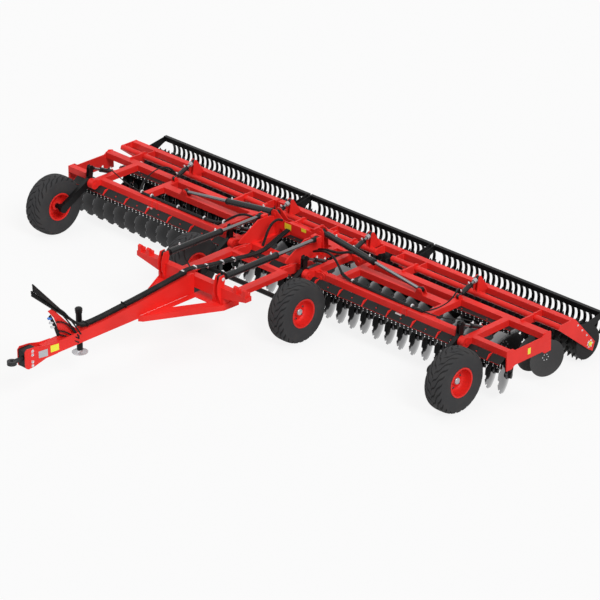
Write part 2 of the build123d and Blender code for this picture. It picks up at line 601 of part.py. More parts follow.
# hoses: two layers along the top of the spine that rise in front of the jack and fan out
HOSE_R = 11.0
HOSE_PATH = [(-330, 1112), (-1105, 1028), (-1985, 957), (-2330, 960), (-2760, 1370), (-3240, 1850)]
hoses = []
for n in range(8):
    across = 24.0 * (n % 4) - 36.0
    layer = 25.0 * (n // 4)
    path = [(across, y, z + layer) for y, z in HOSE_PATH[:4]]
    path.append((across * 1.3, HOSE_PATH[4][0], HOSE_PATH[4][1] + layer * 1.6))
    path.append((across * 1.9, HOSE_PATH[5][0] - 12.0 * (n % 3), HOSE_PATH[5][1] + layer * 3.0))
    line = FilletPolyline(*path, radius=90)
    hoses.append(sweep(Plane(line @ 0, z_dir=line % 0) * Circle(HOSE_R), path=line))
save("drawbar_hoses", hoses)


# ---------------------------------------------------------------- hydraulic cylinders

def unit(start, end):
    line = Vector(*end) - Vector(*start)
    return line.normalized(), line.length


def barrel(start, end, axis, pin_r, eye_r, width, radius, length):
    """Cylinder barrel from its base pin; the base eye turns on a pin along the given axis."""
    direction, _ = unit(start, end)
    a = Vector(*start)
    half = Vector(*axis) * (width / 2)
    long_half = Vector(*axis) * width
    neck = rod(tuple(a + direction * (eye_r * 0.7)), tuple(a + direction * (eye_r + 50)), width * 0.44)
    body = rod(tuple(a + direction * (eye_r + 28 + radius * 0.4)), tuple(a + direction * length), radius)
    bore = rod(tuple(a + direction * 120), tuple(a + direction * (length + 5)), radius * 0.55 + 0.05)
    solid = (body - bore) + neck + rod(tuple(a - half), tuple(a + half), eye_r)
    return solid - rod(tuple(a - long_half), tuple(a + long_half), pin_r + PIN_PLAY)


def piston(start, end, axis, pin_r, eye_r, width, radius, back):
    """Piston rod with its eye on the far pin; back is how far the rod reaches from the eye."""
    direction, _ = unit(start, end)
    b = Vector(*end)
    half = Vector(*axis) * (width / 2)
    long_half = Vector(*axis) * width
    solid = rod(tuple(b - direction * back), tuple(b - direction * (eye_r * 0.6)), radius)
    solid += rod(tuple(b - half), tuple(b + half), eye_r)
    return solid - rod(tuple(b - long_half), tuple(b + long_half), pin_r)


X_AXIS, Y_AXIS = (1.0, 0.0, 0.0), (0.0, 1.0, 0.0)
FOLD_BASE, FOLD_TIP = (490.0, FOLD_CYL_Y, 1161.0), (2525.0, FOLD_CYL_Y, 878.0)
# name: base pin, rod pin, pin axis, base pin radius, rod hole radius, eye radius, eye width, barrel radius,
# barrel length, rod length
CYLINDERS = {"drawbar": [((s * DRAWBAR_CYL_X, -180, 1176), (s * DRAWBAR_CYL_X, 1813, 1155), X_AXIS,
                          DRAWBAR_PIN_R, 25, 46, 60, 52, 1150, 1350) for s in (-1, 1)]}
for name, s in (("left_fold", -1), ("right_fold", 1)):
    base, tip = (s * FOLD_BASE[0], *FOLD_BASE[1:]), (s * FOLD_TIP[0], *FOLD_TIP[1:])
    CYLINDERS[name] = [(base, tip, Y_AXIS, FOLD_PIN_R, 25, 44, 70, 50, 1095, 1040)]
for name, nose_x in (("left_wheel", (-4030,)), ("right_wheel", (3920,)), ("centre_wheel", (-820, 775))):
    CYLINDERS[name] = [((x - 45, LIFT_PIN_Y, LIFT_PIN_Z), (x - 45, LIFT_EYE_Y, LIFT_EYE_Z), X_AXIS,
                        SMALL_PIN_R, 22, 33, 44, 38, 290, 300) for x in nose_x]
for name, where in (("left_depth", (-SIDE_DEPTH_X,)), ("right_depth", (SIDE_DEPTH_X,)),
                    ("centre_depth", (-MIDDLE_DEPTH_X, MIDDLE_DEPTH_X))):
    CYLINDERS[name] = [((x, DEPTH_PIN_Y, DEPTH_PIN_Z), (x, DEPTH_EYE_Y, DEPTH_EYE_Z), X_AXIS, SMALL_PIN_R,
                        20, 30, 50, 38, 290, 288) for x in where]

for name, rows in CYLINDERS.items():
    barrels, rods = [], []
    for start, end, axis, pin, hole, eye, width, barrel_r, barrel_l, rod_l in rows:
        barrels.append(barrel(start, end, axis, pin, eye, width, barrel_r, barrel_l))
        rods.append(piston(start, end, axis, hole, eye * 0.95, width - 6, barrel_r * 0.55, rod_l))
    save(f"{name}_barrel", barrels)
    save(f"{name}_rod", rods)
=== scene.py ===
"""Looks of a folding disc harrow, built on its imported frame. Metres: X across, Y towards the rear, Z up."""
import logging
import math
from dataclasses import dataclass
from enum import Enum
from typing import Sequence, Union

import bpy
import numpy as np
from mathutils import Matrix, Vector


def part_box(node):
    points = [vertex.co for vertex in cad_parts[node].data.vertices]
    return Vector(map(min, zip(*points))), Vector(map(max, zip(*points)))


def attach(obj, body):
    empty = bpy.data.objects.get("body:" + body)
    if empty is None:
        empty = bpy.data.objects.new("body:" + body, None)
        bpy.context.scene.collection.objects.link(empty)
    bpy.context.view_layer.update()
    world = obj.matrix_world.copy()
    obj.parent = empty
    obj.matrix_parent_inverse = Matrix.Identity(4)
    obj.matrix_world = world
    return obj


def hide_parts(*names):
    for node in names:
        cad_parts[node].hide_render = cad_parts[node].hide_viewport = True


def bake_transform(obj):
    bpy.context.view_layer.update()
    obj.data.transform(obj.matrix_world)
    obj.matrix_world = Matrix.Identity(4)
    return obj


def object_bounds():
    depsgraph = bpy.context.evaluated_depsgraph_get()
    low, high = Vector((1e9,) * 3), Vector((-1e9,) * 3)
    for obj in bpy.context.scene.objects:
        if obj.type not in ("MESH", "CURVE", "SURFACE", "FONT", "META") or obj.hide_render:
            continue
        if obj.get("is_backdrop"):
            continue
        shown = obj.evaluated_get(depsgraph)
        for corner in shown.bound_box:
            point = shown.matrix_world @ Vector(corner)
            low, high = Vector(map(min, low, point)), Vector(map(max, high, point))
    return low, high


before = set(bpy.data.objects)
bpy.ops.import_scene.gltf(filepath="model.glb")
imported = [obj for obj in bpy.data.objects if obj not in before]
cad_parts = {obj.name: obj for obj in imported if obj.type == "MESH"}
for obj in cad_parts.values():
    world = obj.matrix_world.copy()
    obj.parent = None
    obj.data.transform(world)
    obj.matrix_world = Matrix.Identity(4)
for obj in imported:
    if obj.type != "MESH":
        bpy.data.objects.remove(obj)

CAD_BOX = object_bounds()
LOG = logging.getLogger("harrow")
# degrees that the notched discs and the plain end discs are turned from square to the beams
SLANT = 23.0
BORDER_SLANT = -16.0
# (y, z) of the rollers' axle
AXLE = (3.352, 0.3)


# ---------------------------------------------------------------- surfaces

@dataclass(frozen=True)
class Surface:
    """A mesh as whole arrays: points, the corners of all faces end to end, and the number of corners of each face.

    Args:
        points: one row of x, y, z for each point.
        corners: point numbers of every face, one face after another.
        sizes: how many corners each face has.
        marks: one number for each point, which a material may read.
    """

    points: np.ndarray
    corners: np.ndarray
    sizes: np.ndarray
    marks: np.ndarray

    @staticmethod
    def grid(points: np.ndarray, ring: bool = False, loop: bool = False, caps: bool = False,
             marks: Union[np.ndarray, None] = None) -> "Surface":
        """Quads on a grid of points: a face joins rows i and i + 1 with columns j and j + 1.

        Args:
            points: grid of rows by columns by 3.
            ring: the last column joins the first.
            loop: the last row joins the first.
            caps: the first and last rows are closed with one face each.
            marks: grid of rows by columns of numbers.

        Returns:
            The surface, facing outwards where rows climb and columns turn anticlockwise.
        """
        rows, columns = points.shape[:2]
        number = np.arange(rows * columns).reshape(rows, columns)
        wide = np.hstack([number, number[:, :1]]) if ring else number
        tall = np.vstack([wide, wide[:1]]) if loop else wide
        quads = np.stack([tall[:-1, :-1], tall[:-1, 1:], tall[1:, 1:], tall[1:, :-1]], axis=-1).reshape(-1, 4)
        corners, sizes = quads.ravel(), np.full(len(quads), 4)
        if caps:
            corners = np.concatenate([corners, number[0, ::-1], number[-1]])
            sizes = np.concatenate([sizes, [columns, columns]])
        values = np.zeros(rows * columns) if marks is None else marks.ravel()
        return Surface(points.reshape(-1, 3), corners, sizes, values)

    @staticmethod
    def merged(parts: Sequence["Surface"]) -> "Surface":
        """Several surfaces as one, with point numbers shifted by what comes before."""
        before = np.cumsum([0] + [len(part.points) for part in parts[:-1]])
        corners = np.concatenate([part.corners + shift for part, shift in zip(parts, before)])
        return Surface(np.concatenate([part.points for part in parts]), corners,
                       np.concatenate([part.sizes for part in parts]), np.concatenate([part.marks for part in parts]))

    def copies(self, places: np.ndarray) -> "Surface":
        """The surface once at each place.

        Args:
            places: one 4 by 4 matrix for each copy.

        Returns:
            All copies as one surface: each point is turned and shifted by each matrix.
        """
        places = np.asarray(places, float).reshape(-1, 4, 4)
        points = np.einsum("kij,nj->kni", places[:, :3, :3], self.points) + places[:, None, :3, 3]
        shift = np.arange(len(places))[:, None] * len(self.points)
        return Surface(points.reshape(-1, 3), (self.corners[None] + shift).ravel(),
                       np.tile(self.sizes, len(places)), np.tile(self.marks, len(places)))


def places(origins: Sequence, axis: Sequence, side: Sequence = (0.0, 0.0, 1.0)) -> np.ndarray:
    """Matrices that stand a shape's own Z along an axis at each origin.

    Args:
        origins: rows of x, y, z.
        axis: one direction for all, or one for each origin.
        side: direction that the shape's own Y leans towards.

    Returns:
        One 4 by 4 matrix for each origin. X is side cross axis, Y is axis cross X.
    """
    origins = np.asarray(origins, float).reshape(-1, 3)
    up = np.broadcast_to(np.asarray(axis, float), origins.shape)
    up = up / np.linalg.norm(up, axis=1, keepdims=True)
    lean = np.broadcast_to(np.asarray(side, float), origins.shape)
    lean = np.where(np.abs(np.sum(lean * up, 1, keepdims=True)) > 0.98 * np.linalg.norm(lean, axis=1, keepdims=True),
                    np.array([0.0, 1.0, 0.0]) if abs(side[1]) < 0.5 else np.array([1.0, 0.0, 0.0]), lean)
    across = np.cross(lean, up)
    across = across / np.linalg.norm(across, axis=1, keepdims=True)
    result = np.zeros((len(origins), 4, 4))
    result[:, :3, 0], result[:, :3, 1], result[:, :3, 2] = across, np.cross(up, across), up
    result[:, :3, 3], result[:, 3, 3] = origins, 1.0
    return result


def turned(profile: Sequence, steps: int) -> Surface:
    """A closed solid of revolution about Z: radius times cosine, radius times sine, height, from the bottom up.

    Args:
        profile: (radius, height) pairs from bottom to top, along the outside.
        steps: how many steps one turn has.

    Returns:
        The surface with flat caps over its first and last rings.
    """
    radius, height = np.asarray(profile, float).T
    angle = np.linspace(0, 2 * np.pi, steps, endpoint=False)
    points = np.stack([np.outer(radius, np.cos(angle)), np.outer(radius, np.sin(angle)),
                       np.repeat(height[:, None], steps, 1)], axis=-1)
    return Surface.grid(points, ring=True, caps=True)


def slab(outline: Sequence, low: float, high: float, bevel: float) -> Surface:
    """A plate with bevelled edges: the outline, drawn in by the bevel at its two faces.

    Args:
        outline: (x, y) pairs, in either turn.
        low: height of the lower face.
        high: height of the upper face.
        bevel: how far the edges are taken off.

    Returns:
        The plate's surface; a corner moves in along the mean of its two edges' inward normals.
    """
    edge = np.asarray(outline, float)
    after = np.roll(edge, -1, 0)
    if np.sum(edge[:, 0] * after[:, 1] - edge[:, 1] * after[:, 0]) < 0:
        edge = edge[::-1]
    ahead = np.roll(edge, -1, 0) - edge
    ahead = ahead / np.linalg.norm(ahead, axis=1, keepdims=True)
    inward = np.stack([-ahead[:, 1], ahead[:, 0]], axis=1)
    mean = inward + np.roll(inward, 1, 0)
    mean = mean / np.maximum(np.sum(mean * inward, 1, keepdims=True), 0.3)
    rings = [(edge + mean * bevel, low), (edge, low + bevel), (edge, high - bevel), (edge + mean * bevel, high)]
    points = np.stack([np.column_stack([ring, np.full(len(edge), z)]) for ring, z in rings])
    return Surface.grid(points, ring=True, caps=True)


def upright(outline: Sequence, low: float, high: float, bevel: float = 0.001) -> Surface:
    """A plate with an (x, z) outline between two y limits: a slab turned a quarter about X."""
    turn = np.array([[1, 0, 0, 0], [0, 0, -1, 0], [0, 1, 0, 0], [0, 0, 0, 1]], float)
    return slab(outline, -high, -low, bevel).copies(turn)


def sideways(outline: Sequence, low: float, high: float, bevel: float = 0.001) -> Surface:
    """A plate with a (y, z) outline between two x limits: a slab whose axes are passed round."""
    turn = np.array([[0, 0, 1, 0], [1, 0, 0, 0], [0, 1, 0, 0], [0, 0, 0, 1]], float)
    return slab(outline, low, high, bevel).copies(turn)


def box(x: Sequence, y: Sequence, z: Sequence, bevel: float = 0.003) -> Surface:
    """A bevelled block between pairs of limits."""
    outline = [(x[0], y[0]), (x[1], y[0]), (x[1], y[1]), (x[0], y[1])]
    return slab(outline, z[0], z[1], bevel)


def curve(control: Sequence, samples: int) -> np.ndarray:
    """A clamped cubic B-spline through the ends of its control polygon, by the recursion of its basis functions.

    Args:
        control: control points.
        samples: how many points to return.

    Returns:
        Points at even parameters along the curve.
    """
    control = np.asarray(control, float)
    degree = min(3, len(control) - 1)
    inner = np.linspace(0, 1, len(control) - degree + 1)
    knots = np.concatenate([np.zeros(degree), inner, np.ones(degree)])
    t = np.linspace(0, 1, samples)[:, None]
    basis = ((knots[:-1] <= t) & (t < knots[1:])).astype(float)
    basis[-1, len(control) - 1] = 1.0
    for order in range(1, degree + 1):
        rise = knots[order:-1] - knots[:-order - 1]
        fall = knots[order + 1:] - knots[1:-order]
        left = np.where(rise > 0, (t - knots[:-order - 1]) / np.where(rise > 0, rise, 1), 0)
        right = np.where(fall > 0, (knots[order + 1:] - t) / np.where(fall > 0, fall, 1), 0)
        basis = left * basis[:, :-1] + right * basis[:, 1:]
    return basis @ control


def tube(path: np.ndarray, radius: Union[float, np.ndarray], sides: int = 10,
         side: Sequence = (0.0, 0.0, 1.0)) -> Surface:
    """A round section carried along a path, square to the path at each point.

    Args:
        path: points of the middle line.
        radius: one radius, or one for each point.
        sides: how many sides the section has.
        side: direction that the section is not twisted away from.

    Returns:
        The tube, closed at both ends.
    """
    along = np.gradient(path, axis=0)
    stands = places(path, along, side)
    angle = np.linspace(0, 2 * np.pi, sides, endpoint=False)
    wide = np.broadcast_to(np.asarray(radius, float), (len(path),))
    ring = wide[:, None, None] * (np.cos(angle)[None, :, None] * stands[:, None, :3, 0]
                                  + np.sin(angle)[None, :, None] * stands[:, None, :3, 1])
    return Surface.grid(path[:, None, :] + ring, ring=True, caps=True)


def hexagon(radius: float, height: float) -> Surface:
    """A nut or bolt head with its top corners taken off, standing on Z = 0."""
    return turned([(radius, 0), (radius, height * 0.72), (radius * 0.82, height), (radius * 0.3, height)], 6)


def washer(radius: float, height: float) -> Surface:
    """A flat round disc with a rounded rim, standing on Z = 0."""
    return turned([(radius, 0), (radius, height * 0.6), (radius - height * 0.4, height)], 14)


def bolt(radius: float, height: float) -> Surface:
    """A hexagon head on its washer, with the end of the thread above it."""
    thread = turned([(radius * 0.5, height * 0.9), (radius * 0.5, height * 1.35), (radius * 0.38, height * 1.5)], 8)
    return Surface.merged([washer(radius * 1.45, height * 0.2), hexagon(radius, height), thread])


# ---------------------------------------------------------------- shading

Feed = Union[float, Sequence, "Channel"]


class Channel:
    """A node's output socket, with arithmetic that adds Math nodes."""

    def __init__(self, shading: "Shading", socket: bpy.types.NodeSocket) -> None:
        """Keeps the socket and the tree that it belongs to."""
        self.shading, self.socket = shading, socket

    def _math(self, operation: str, *feeds: Feed) -> "Channel":
        """One Math node on the given values."""
        return self.shading.node("ShaderNodeMath", {"operation": operation}, feeds)

    def __add__(self, other: Feed) -> "Channel":
        """Sum."""
        return self._math("ADD", self, other)

    def __sub__(self, other: Feed) -> "Channel":
        """Difference."""
        return self._math("SUBTRACT", self, other)

    def __rsub__(self, other: Feed) -> "Channel":
        """Difference from a number."""
        return self._math("SUBTRACT", other, self)

    def __mul__(self, other: Feed) -> "Channel":
        """Product."""
        return self._math("MULTIPLY", self, other)

    __radd__ = __add__
    __rmul__ = __mul__

    def wave(self) -> "Channel":
        """Sine of the value."""
        return self._math("SINE", self)

    def between(self, low: float, high: float) -> "Channel":
        """0 below low, 1 above high and a straight slope between."""
        settings = {"interpolation_type": "LINEAR", "clamp": True}
        return self.shading.node("ShaderNodeMapRange", settings, {"Value": self, "From Min": low, "From Max": high})


class Shading:
    """The node tree of one material, ending in a Principled shader."""

    def __init__(self, name: str) -> None:
        """Starts an empty tree with its shader and output."""
        self.material = bpy.data.materials.new(name)
        self.material.use_nodes = True
        self.tree = self.material.node_tree
        self.tree.nodes.clear()
        self.shader = self.tree.nodes.new("ShaderNodeBsdfPrincipled")
        output = self.tree.nodes.new("ShaderNodeOutputMaterial")
        self.tree.links.new(self.shader.outputs["BSDF"], output.inputs["Surface"])

    def _feed(self, socket: bpy.types.NodeSocket, feed: Feed) -> None:
        """Links or sets one input."""
        if isinstance(feed, Channel):
            self.tree.links.new(feed.socket, socket)
        else:
            socket.default_value = feed

    def node(self, kind: str, settings: dict, feeds: Union[dict, Sequence], output: Union[int, str] = 0) -> Channel:
        """Adds any node.

        Args:
            kind: the node's type.
            settings: its own properties, set first.
            feeds: values or channels for its inputs, by name or in order.
            output: which of its outputs to return, by name or number.

        Returns:
            The chosen output.
        """
        made = self.tree.nodes.new(kind)
        for key, value in settings.items():
            setattr(made, key, value)
        live = [socket for socket in made.inputs if socket.enabled]
        pairs = feeds.items() if isinstance(feeds, dict) else enumerate(feeds)
        for key, feed in pairs:
            self._feed(next(s for s in live if s.name == key) if isinstance(key, str) else live[key], feed)
        ready = [socket for socket in made.outputs if socket.enabled]
        return Channel(self, ready[output] if isinstance(output, int) else made.outputs[output])

    def place(self) -> Channel:
        """Object coordinates, in metres."""
        return self.node("ShaderNodeTexCoord", {}, {}, "Object")

    def axis(self, name: str) -> Channel:
        """One of X, Y and Z in metres."""
        return self.node("ShaderNodeSeparateXYZ", {}, [self.place()], name)

    def mark(self) -> Channel:
        """The number that each point of the mesh carries."""
        return self.node("ShaderNodeAttribute", {"attribute_name": "mark"}, {}, "Fac")

    def noise(self, scale: float, detail: float = 3.0, stretch: Sequence = (1.0, 1.0, 1.0)) -> Channel:
        """Cloudy noise from 0 to 1, with its features per metre and how they are stretched."""
        spot = self.node("ShaderNodeVectorMath", {"operation": "MULTIPLY"}, [self.place(), tuple(stretch)])
        return self.node("ShaderNodeTexNoise", {}, {"Vector": spot, "Scale": scale, "Detail": detail})

    def mixed(self, share: Feed, first: Feed, second: Feed) -> Channel:
        """First colour, turning into the second as the share goes from 0 to 1."""
        first, second = [f if isinstance(f, Channel) else (*f, 1.0) for f in (first, second)]
        settings = {"data_type": "RGBA", "clamp_factor": True}
        return self.node("ShaderNodeMix", settings, [share, first, second])

    def relief(self, height: Channel, depth: float) -> Channel:
        """A bump whose full height is the given depth in metres."""
        return self.node("ShaderNodeBump", {}, {"Strength": 1.0, "Distance": depth, "Height": height}, "Normal")

    def finish(self, **feeds: Feed) -> bpy.types.Material:
        """Sets the shader's sockets, named with underscores for spaces, and returns the material."""
        for key, feed in feeds.items():
            self._feed(self.shader.inputs[key.replace("_", " ")], feed)
        return self.material


@dataclass(frozen=True)
class Paint:
    """Sprayed enamel: faint clouds of tone, dust low down, and the fine ripple of a sprayed coat.

    Args:
        name: name of the material.
        colour: the enamel's colour.
        roughness: middle roughness.
        coat: weight of the clear gloss on top.
        dust: how much pale soil dust lies on it near the ground.
        metallic: how metallic it is.
        gleam: level of its mirror reflection; 0.5 is plain plastic.
    """

    name: str
    colour: Sequence
    roughness: float
    coat: float = 0.0
    dust: float = 0.1
    metallic: float = 0.0
    gleam: float = 0.5

    def build(self) -> bpy.types.Material:
        """Makes the material."""
        make = Shading(self.name)
        cloud, grain = make.noise(1.1, 4.0), make.noise(60.0, 4.0)
        deep = tuple(c * 0.86 for c in self.colour)
        pale = tuple(min(1.0, c * 1.1 + 0.004) for c in self.colour)
        base = make.mixed(cloud.between(0.3, 0.7), deep, pale)
        low = 1.0 - make.axis("Z").between(0.15, 1.0)
        dusty = low * grain.between(0.35, 0.8) * self.dust
        base = make.mixed(dusty, base, (0.34, 0.27, 0.2))
        rough = self.roughness + (grain - 0.5) * 0.16 + dusty * 0.5
        ripple = make.noise(260.0, 2.0) * 0.7 + grain * 0.3
        return make.finish(Base_Color=base, Roughness=rough, Metallic=self.metallic, Coat_Weight=self.coat,
                           Coat_Roughness=0.12, Specular_IOR_Level=self.gleam, Normal=make.relief(ripple, 0.0006))


@dataclass(frozen=True)
class DiscSteel:
    """Heat-treated disc steel: turned rings, darker towards the hub and polished by the soil near its edge."""

    name: str = "disc_steel"
    colour: Sequence = (0.19, 0.19, 0.192)
    edge: Sequence = (0.27, 0.27, 0.273)

    def build(self) -> bpy.types.Material:
        """Makes the material; the mesh's mark is 0 at the hub and 1 at the rim."""
        make = Shading(self.name)
        reach, grain = make.mark(), make.noise(24.0, 5.0)
        rings = (reach * 320.0 + grain * 9.0).wave() * 0.5 + 0.5
        worn = (reach + (grain - 0.5) * 0.25).between(0.55, 0.98)
        base = make.mixed(worn, self.colour, self.edge)
        base = make.mixed(grain.between(0.62, 0.8) * 0.3, base, (0.09, 0.075, 0.065))
        rough = 0.05 - worn * 0.01 + rings * 0.01 + grain * 0.02
        return make.finish(Base_Color=base, Roughness=rough, Metallic=1.0,
                           Normal=make.relief(rings, 0.00004))


@dataclass(frozen=True)
class Rubber:
    """Moulded rubber: near black, dull, with painted shade that darkens the grooves between lugs, clouds of pale dust,
    and a fine mould grain.
    """

    name: str
    colour: Sequence = (0.03, 0.03, 0.031)
    roughness: float = 0.72

    def build(self) -> bpy.types.Material:
        """Makes the material; the mesh's mark is 0 in a groove and 1 on a lug, and the grooves get painted shade."""
        make = Shading(self.name)
        proud, grain, cloud = make.mark(), make.noise(160.0, 4.0), make.noise(5.0, 4.0)
        # painted shade: grooves (mark 0) are drawn at under half the rubber's colour, lugs (mark 1) keep it
        base = make.mixed(proud.between(0.1, 0.9), tuple(c * 0.45 for c in self.colour), self.colour)
        base = make.mixed(cloud.between(0.45, 0.85) * 0.22, base, (0.11, 0.1, 0.09))
        rough = self.roughness + (grain - 0.5) * 0.2
        return make.finish(Base_Color=base, Roughness=rough, Specular_IOR_Level=0.15,
                           Normal=make.relief(grain, 0.0006))


@dataclass(frozen=True)
class Metal:
    """Bare or plated metal with fine drawn scratches and a little tarnish."""

    name: str
    colour: Sequence
    roughness: float
    stretch: Sequence = (1.0, 1.0, 1.0)
    tarnish: float = 0.1
    metallic: float = 1.0

    def build(self) -> bpy.types.Material:
        """Makes the material."""
        make = Shading(self.name)
        drawn, cloud = make.noise(300.0, 3.0, self.stretch), make.noise(14.0, 3.0)
        base = make.mixed(cloud.between(0.5, 0.85) * self.tarnish, self.colour, tuple(c * 0.45 for c in self.colour))
        rough = self.roughness + (drawn - 0.5) * 0.12 + cloud.between(0.5, 0.85) * self.tarnish
        return make.finish(Base_Color=base, Roughness=rough, Metallic=self.metallic,
                           Normal=make.relief(drawn, 0.0001))


class Finish(Enum):
    """Every finish on the machine."""

    RED = Paint("red_enamel", (0.86, 0.026, 0.02), 0.42, dust=0.02, gleam=0.22)
    BLACK = Paint("black_enamel", (0.005, 0.005, 0.0055), 0.42, dust=0.01, gleam=0.16)
    CHARCOAL = Paint("charcoal_enamel", (0.02, 0.0215, 0.0215), 0.5, dust=0.02, gleam=0.1)
    BORDER = Paint("dark_disc_enamel", (0.035, 0.035, 0.036), 0.4, dust=0.02, gleam=0.3)
    BARREL = Paint("cylinder_enamel", (0.011, 0.012, 0.0125), 0.26, dust=0.0, gleam=0.3)
    DISC = DiscSteel()
    TYRE = Rubber("tyre_rubber", (0.045, 0.045, 0.047), 0.75)
    HOSE = Rubber("hose_rubber", (0.02, 0.02, 0.021), 0.5)
    CHROME = Metal("hard_chrome", (0.2, 0.205, 0.21), 0.25, (1.0, 0.15, 1.0), 0.05)
    ZINC = Metal("zinc_plate", (0.7, 0.71, 0.72), 0.34, tarnish=0.3)
    DARK_ZINC = Metal("dark_zinc", (0.2, 0.2, 0.21), 0.4, tarnish=0.4)
    IRON = Metal("forged_iron", (0.035, 0.035, 0.037), 0.5, tarnish=0.3, metallic=0.6)
    YELLOW = Paint("yellow_film", (0.95, 0.9, 0.04), 0.4, dust=0.02)
    SILVER = Paint("silver_enamel", (0.5, 0.51, 0.53), 0.34, dust=0.05, metallic=0.4)
    BLUE = Paint("blue_cap", (0.03, 0.2, 0.7), 0.4, dust=0.02)
    WHITE = Paint("white_cap", (0.75, 0.76, 0.78), 0.4, dust=0.02)


class Palette:
    """Materials made once for each finish."""

    def __init__(self) -> None:
        """Starts with nothing made."""
        self.made: dict = {}

    def __getitem__(self, finish: Finish) -> bpy.types.Material:
        """The finish's material, made when first asked for."""
        if finish not in self.made:
            self.made[finish] = finish.value.build()
        return self.made[finish]


PALETTE = Palette()


def piece(name: str, surface: Surface, finish: Finish, body: str, sharp: float = 35.0) -> bpy.types.Object:
    """Puts a surface into a mesh object that rides on a body.

    Args:
        name: the object's name.
        surface: its shape, in place.
        finish: its finish.
        body: the CAD body that it moves with, or nothing to leave it on no body.
        sharp: angle in degrees past which an edge is shown sharp.

    Returns:
        The finished object, at the origin.
    """
    mesh = bpy.data.meshes.new(name)
    mesh.vertices.add(len(surface.points))
    mesh.vertices.foreach_set("co", surface.points.astype(np.float32).ravel())
    mesh.loops.add(len(surface.corners))
    mesh.loops.foreach_set("vertex_index", surface.corners.astype(np.int32))
    mesh.polygons.add(len(surface.sizes))
    starts = np.concatenate([[0], np.cumsum(surface.sizes)[:-1]]).astype(np.int32)
    mesh.polygons.foreach_set("loop_start", starts)
    mesh.update(calc_edges=True)
    mesh.validate()
    mesh.polygons.foreach_set("use_smooth", np.ones(len(mesh.polygons), bool))
    mesh.attributes.new("mark", "FLOAT", "POINT").data.foreach_set("value", surface.marks.astype(np.float32))
    mesh.set_sharp_from_angle(angle=math.radians(sharp))
    made = bpy.data.objects.new(name, mesh)
    bpy.context.scene.collection.objects.link(made)
    mesh.materials.append(PALETTE[finish])
    if body:
        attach(made, body)
    LOG.info("%s: %d faces on %s", name, len(surface.sizes), body)
    return made


# ---------------------------------------------------------------- carried-over nodes

@dataclass(frozen=True)
class Dressing:
    """Gives each CAD node that stays its finish."""

    endings: Sequence = (("_rod", Finish.CHROME), ("_barrel", Finish.BARREL), ("_disc_arms", Finish.BLACK),
                         ("_scraper", Finish.BLACK), ("_roller", Finish.BLACK), ("_tyre", Finish.TYRE),
                         ("_rim", Finish.RED), ("_discs", Finish.DISC), ("_hoses", Finish.HOSE),
                         ("wheel_arm", Finish.BLACK), ("wheel_arms", Finish.BLACK), ("hitch_block", Finish.BLACK),
                         ("jack_tube", Finish.BLACK), ("jack_leg", Finish.SILVER), ("towing_eye", Finish.IRON))

    def build(self) -> None:
        """Assigns a material to every slot of every node."""
        for name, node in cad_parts.items():
            finish = next((made for ending, made in self.endings if name.endswith(ending)), Finish.RED)
            if not node.data.materials:
                node.data.materials.append(PALETTE[finish])
            for slot in node.material_slots:
                slot.material = PALETTE[finish]


# ---------------------------------------------------------------- wheels

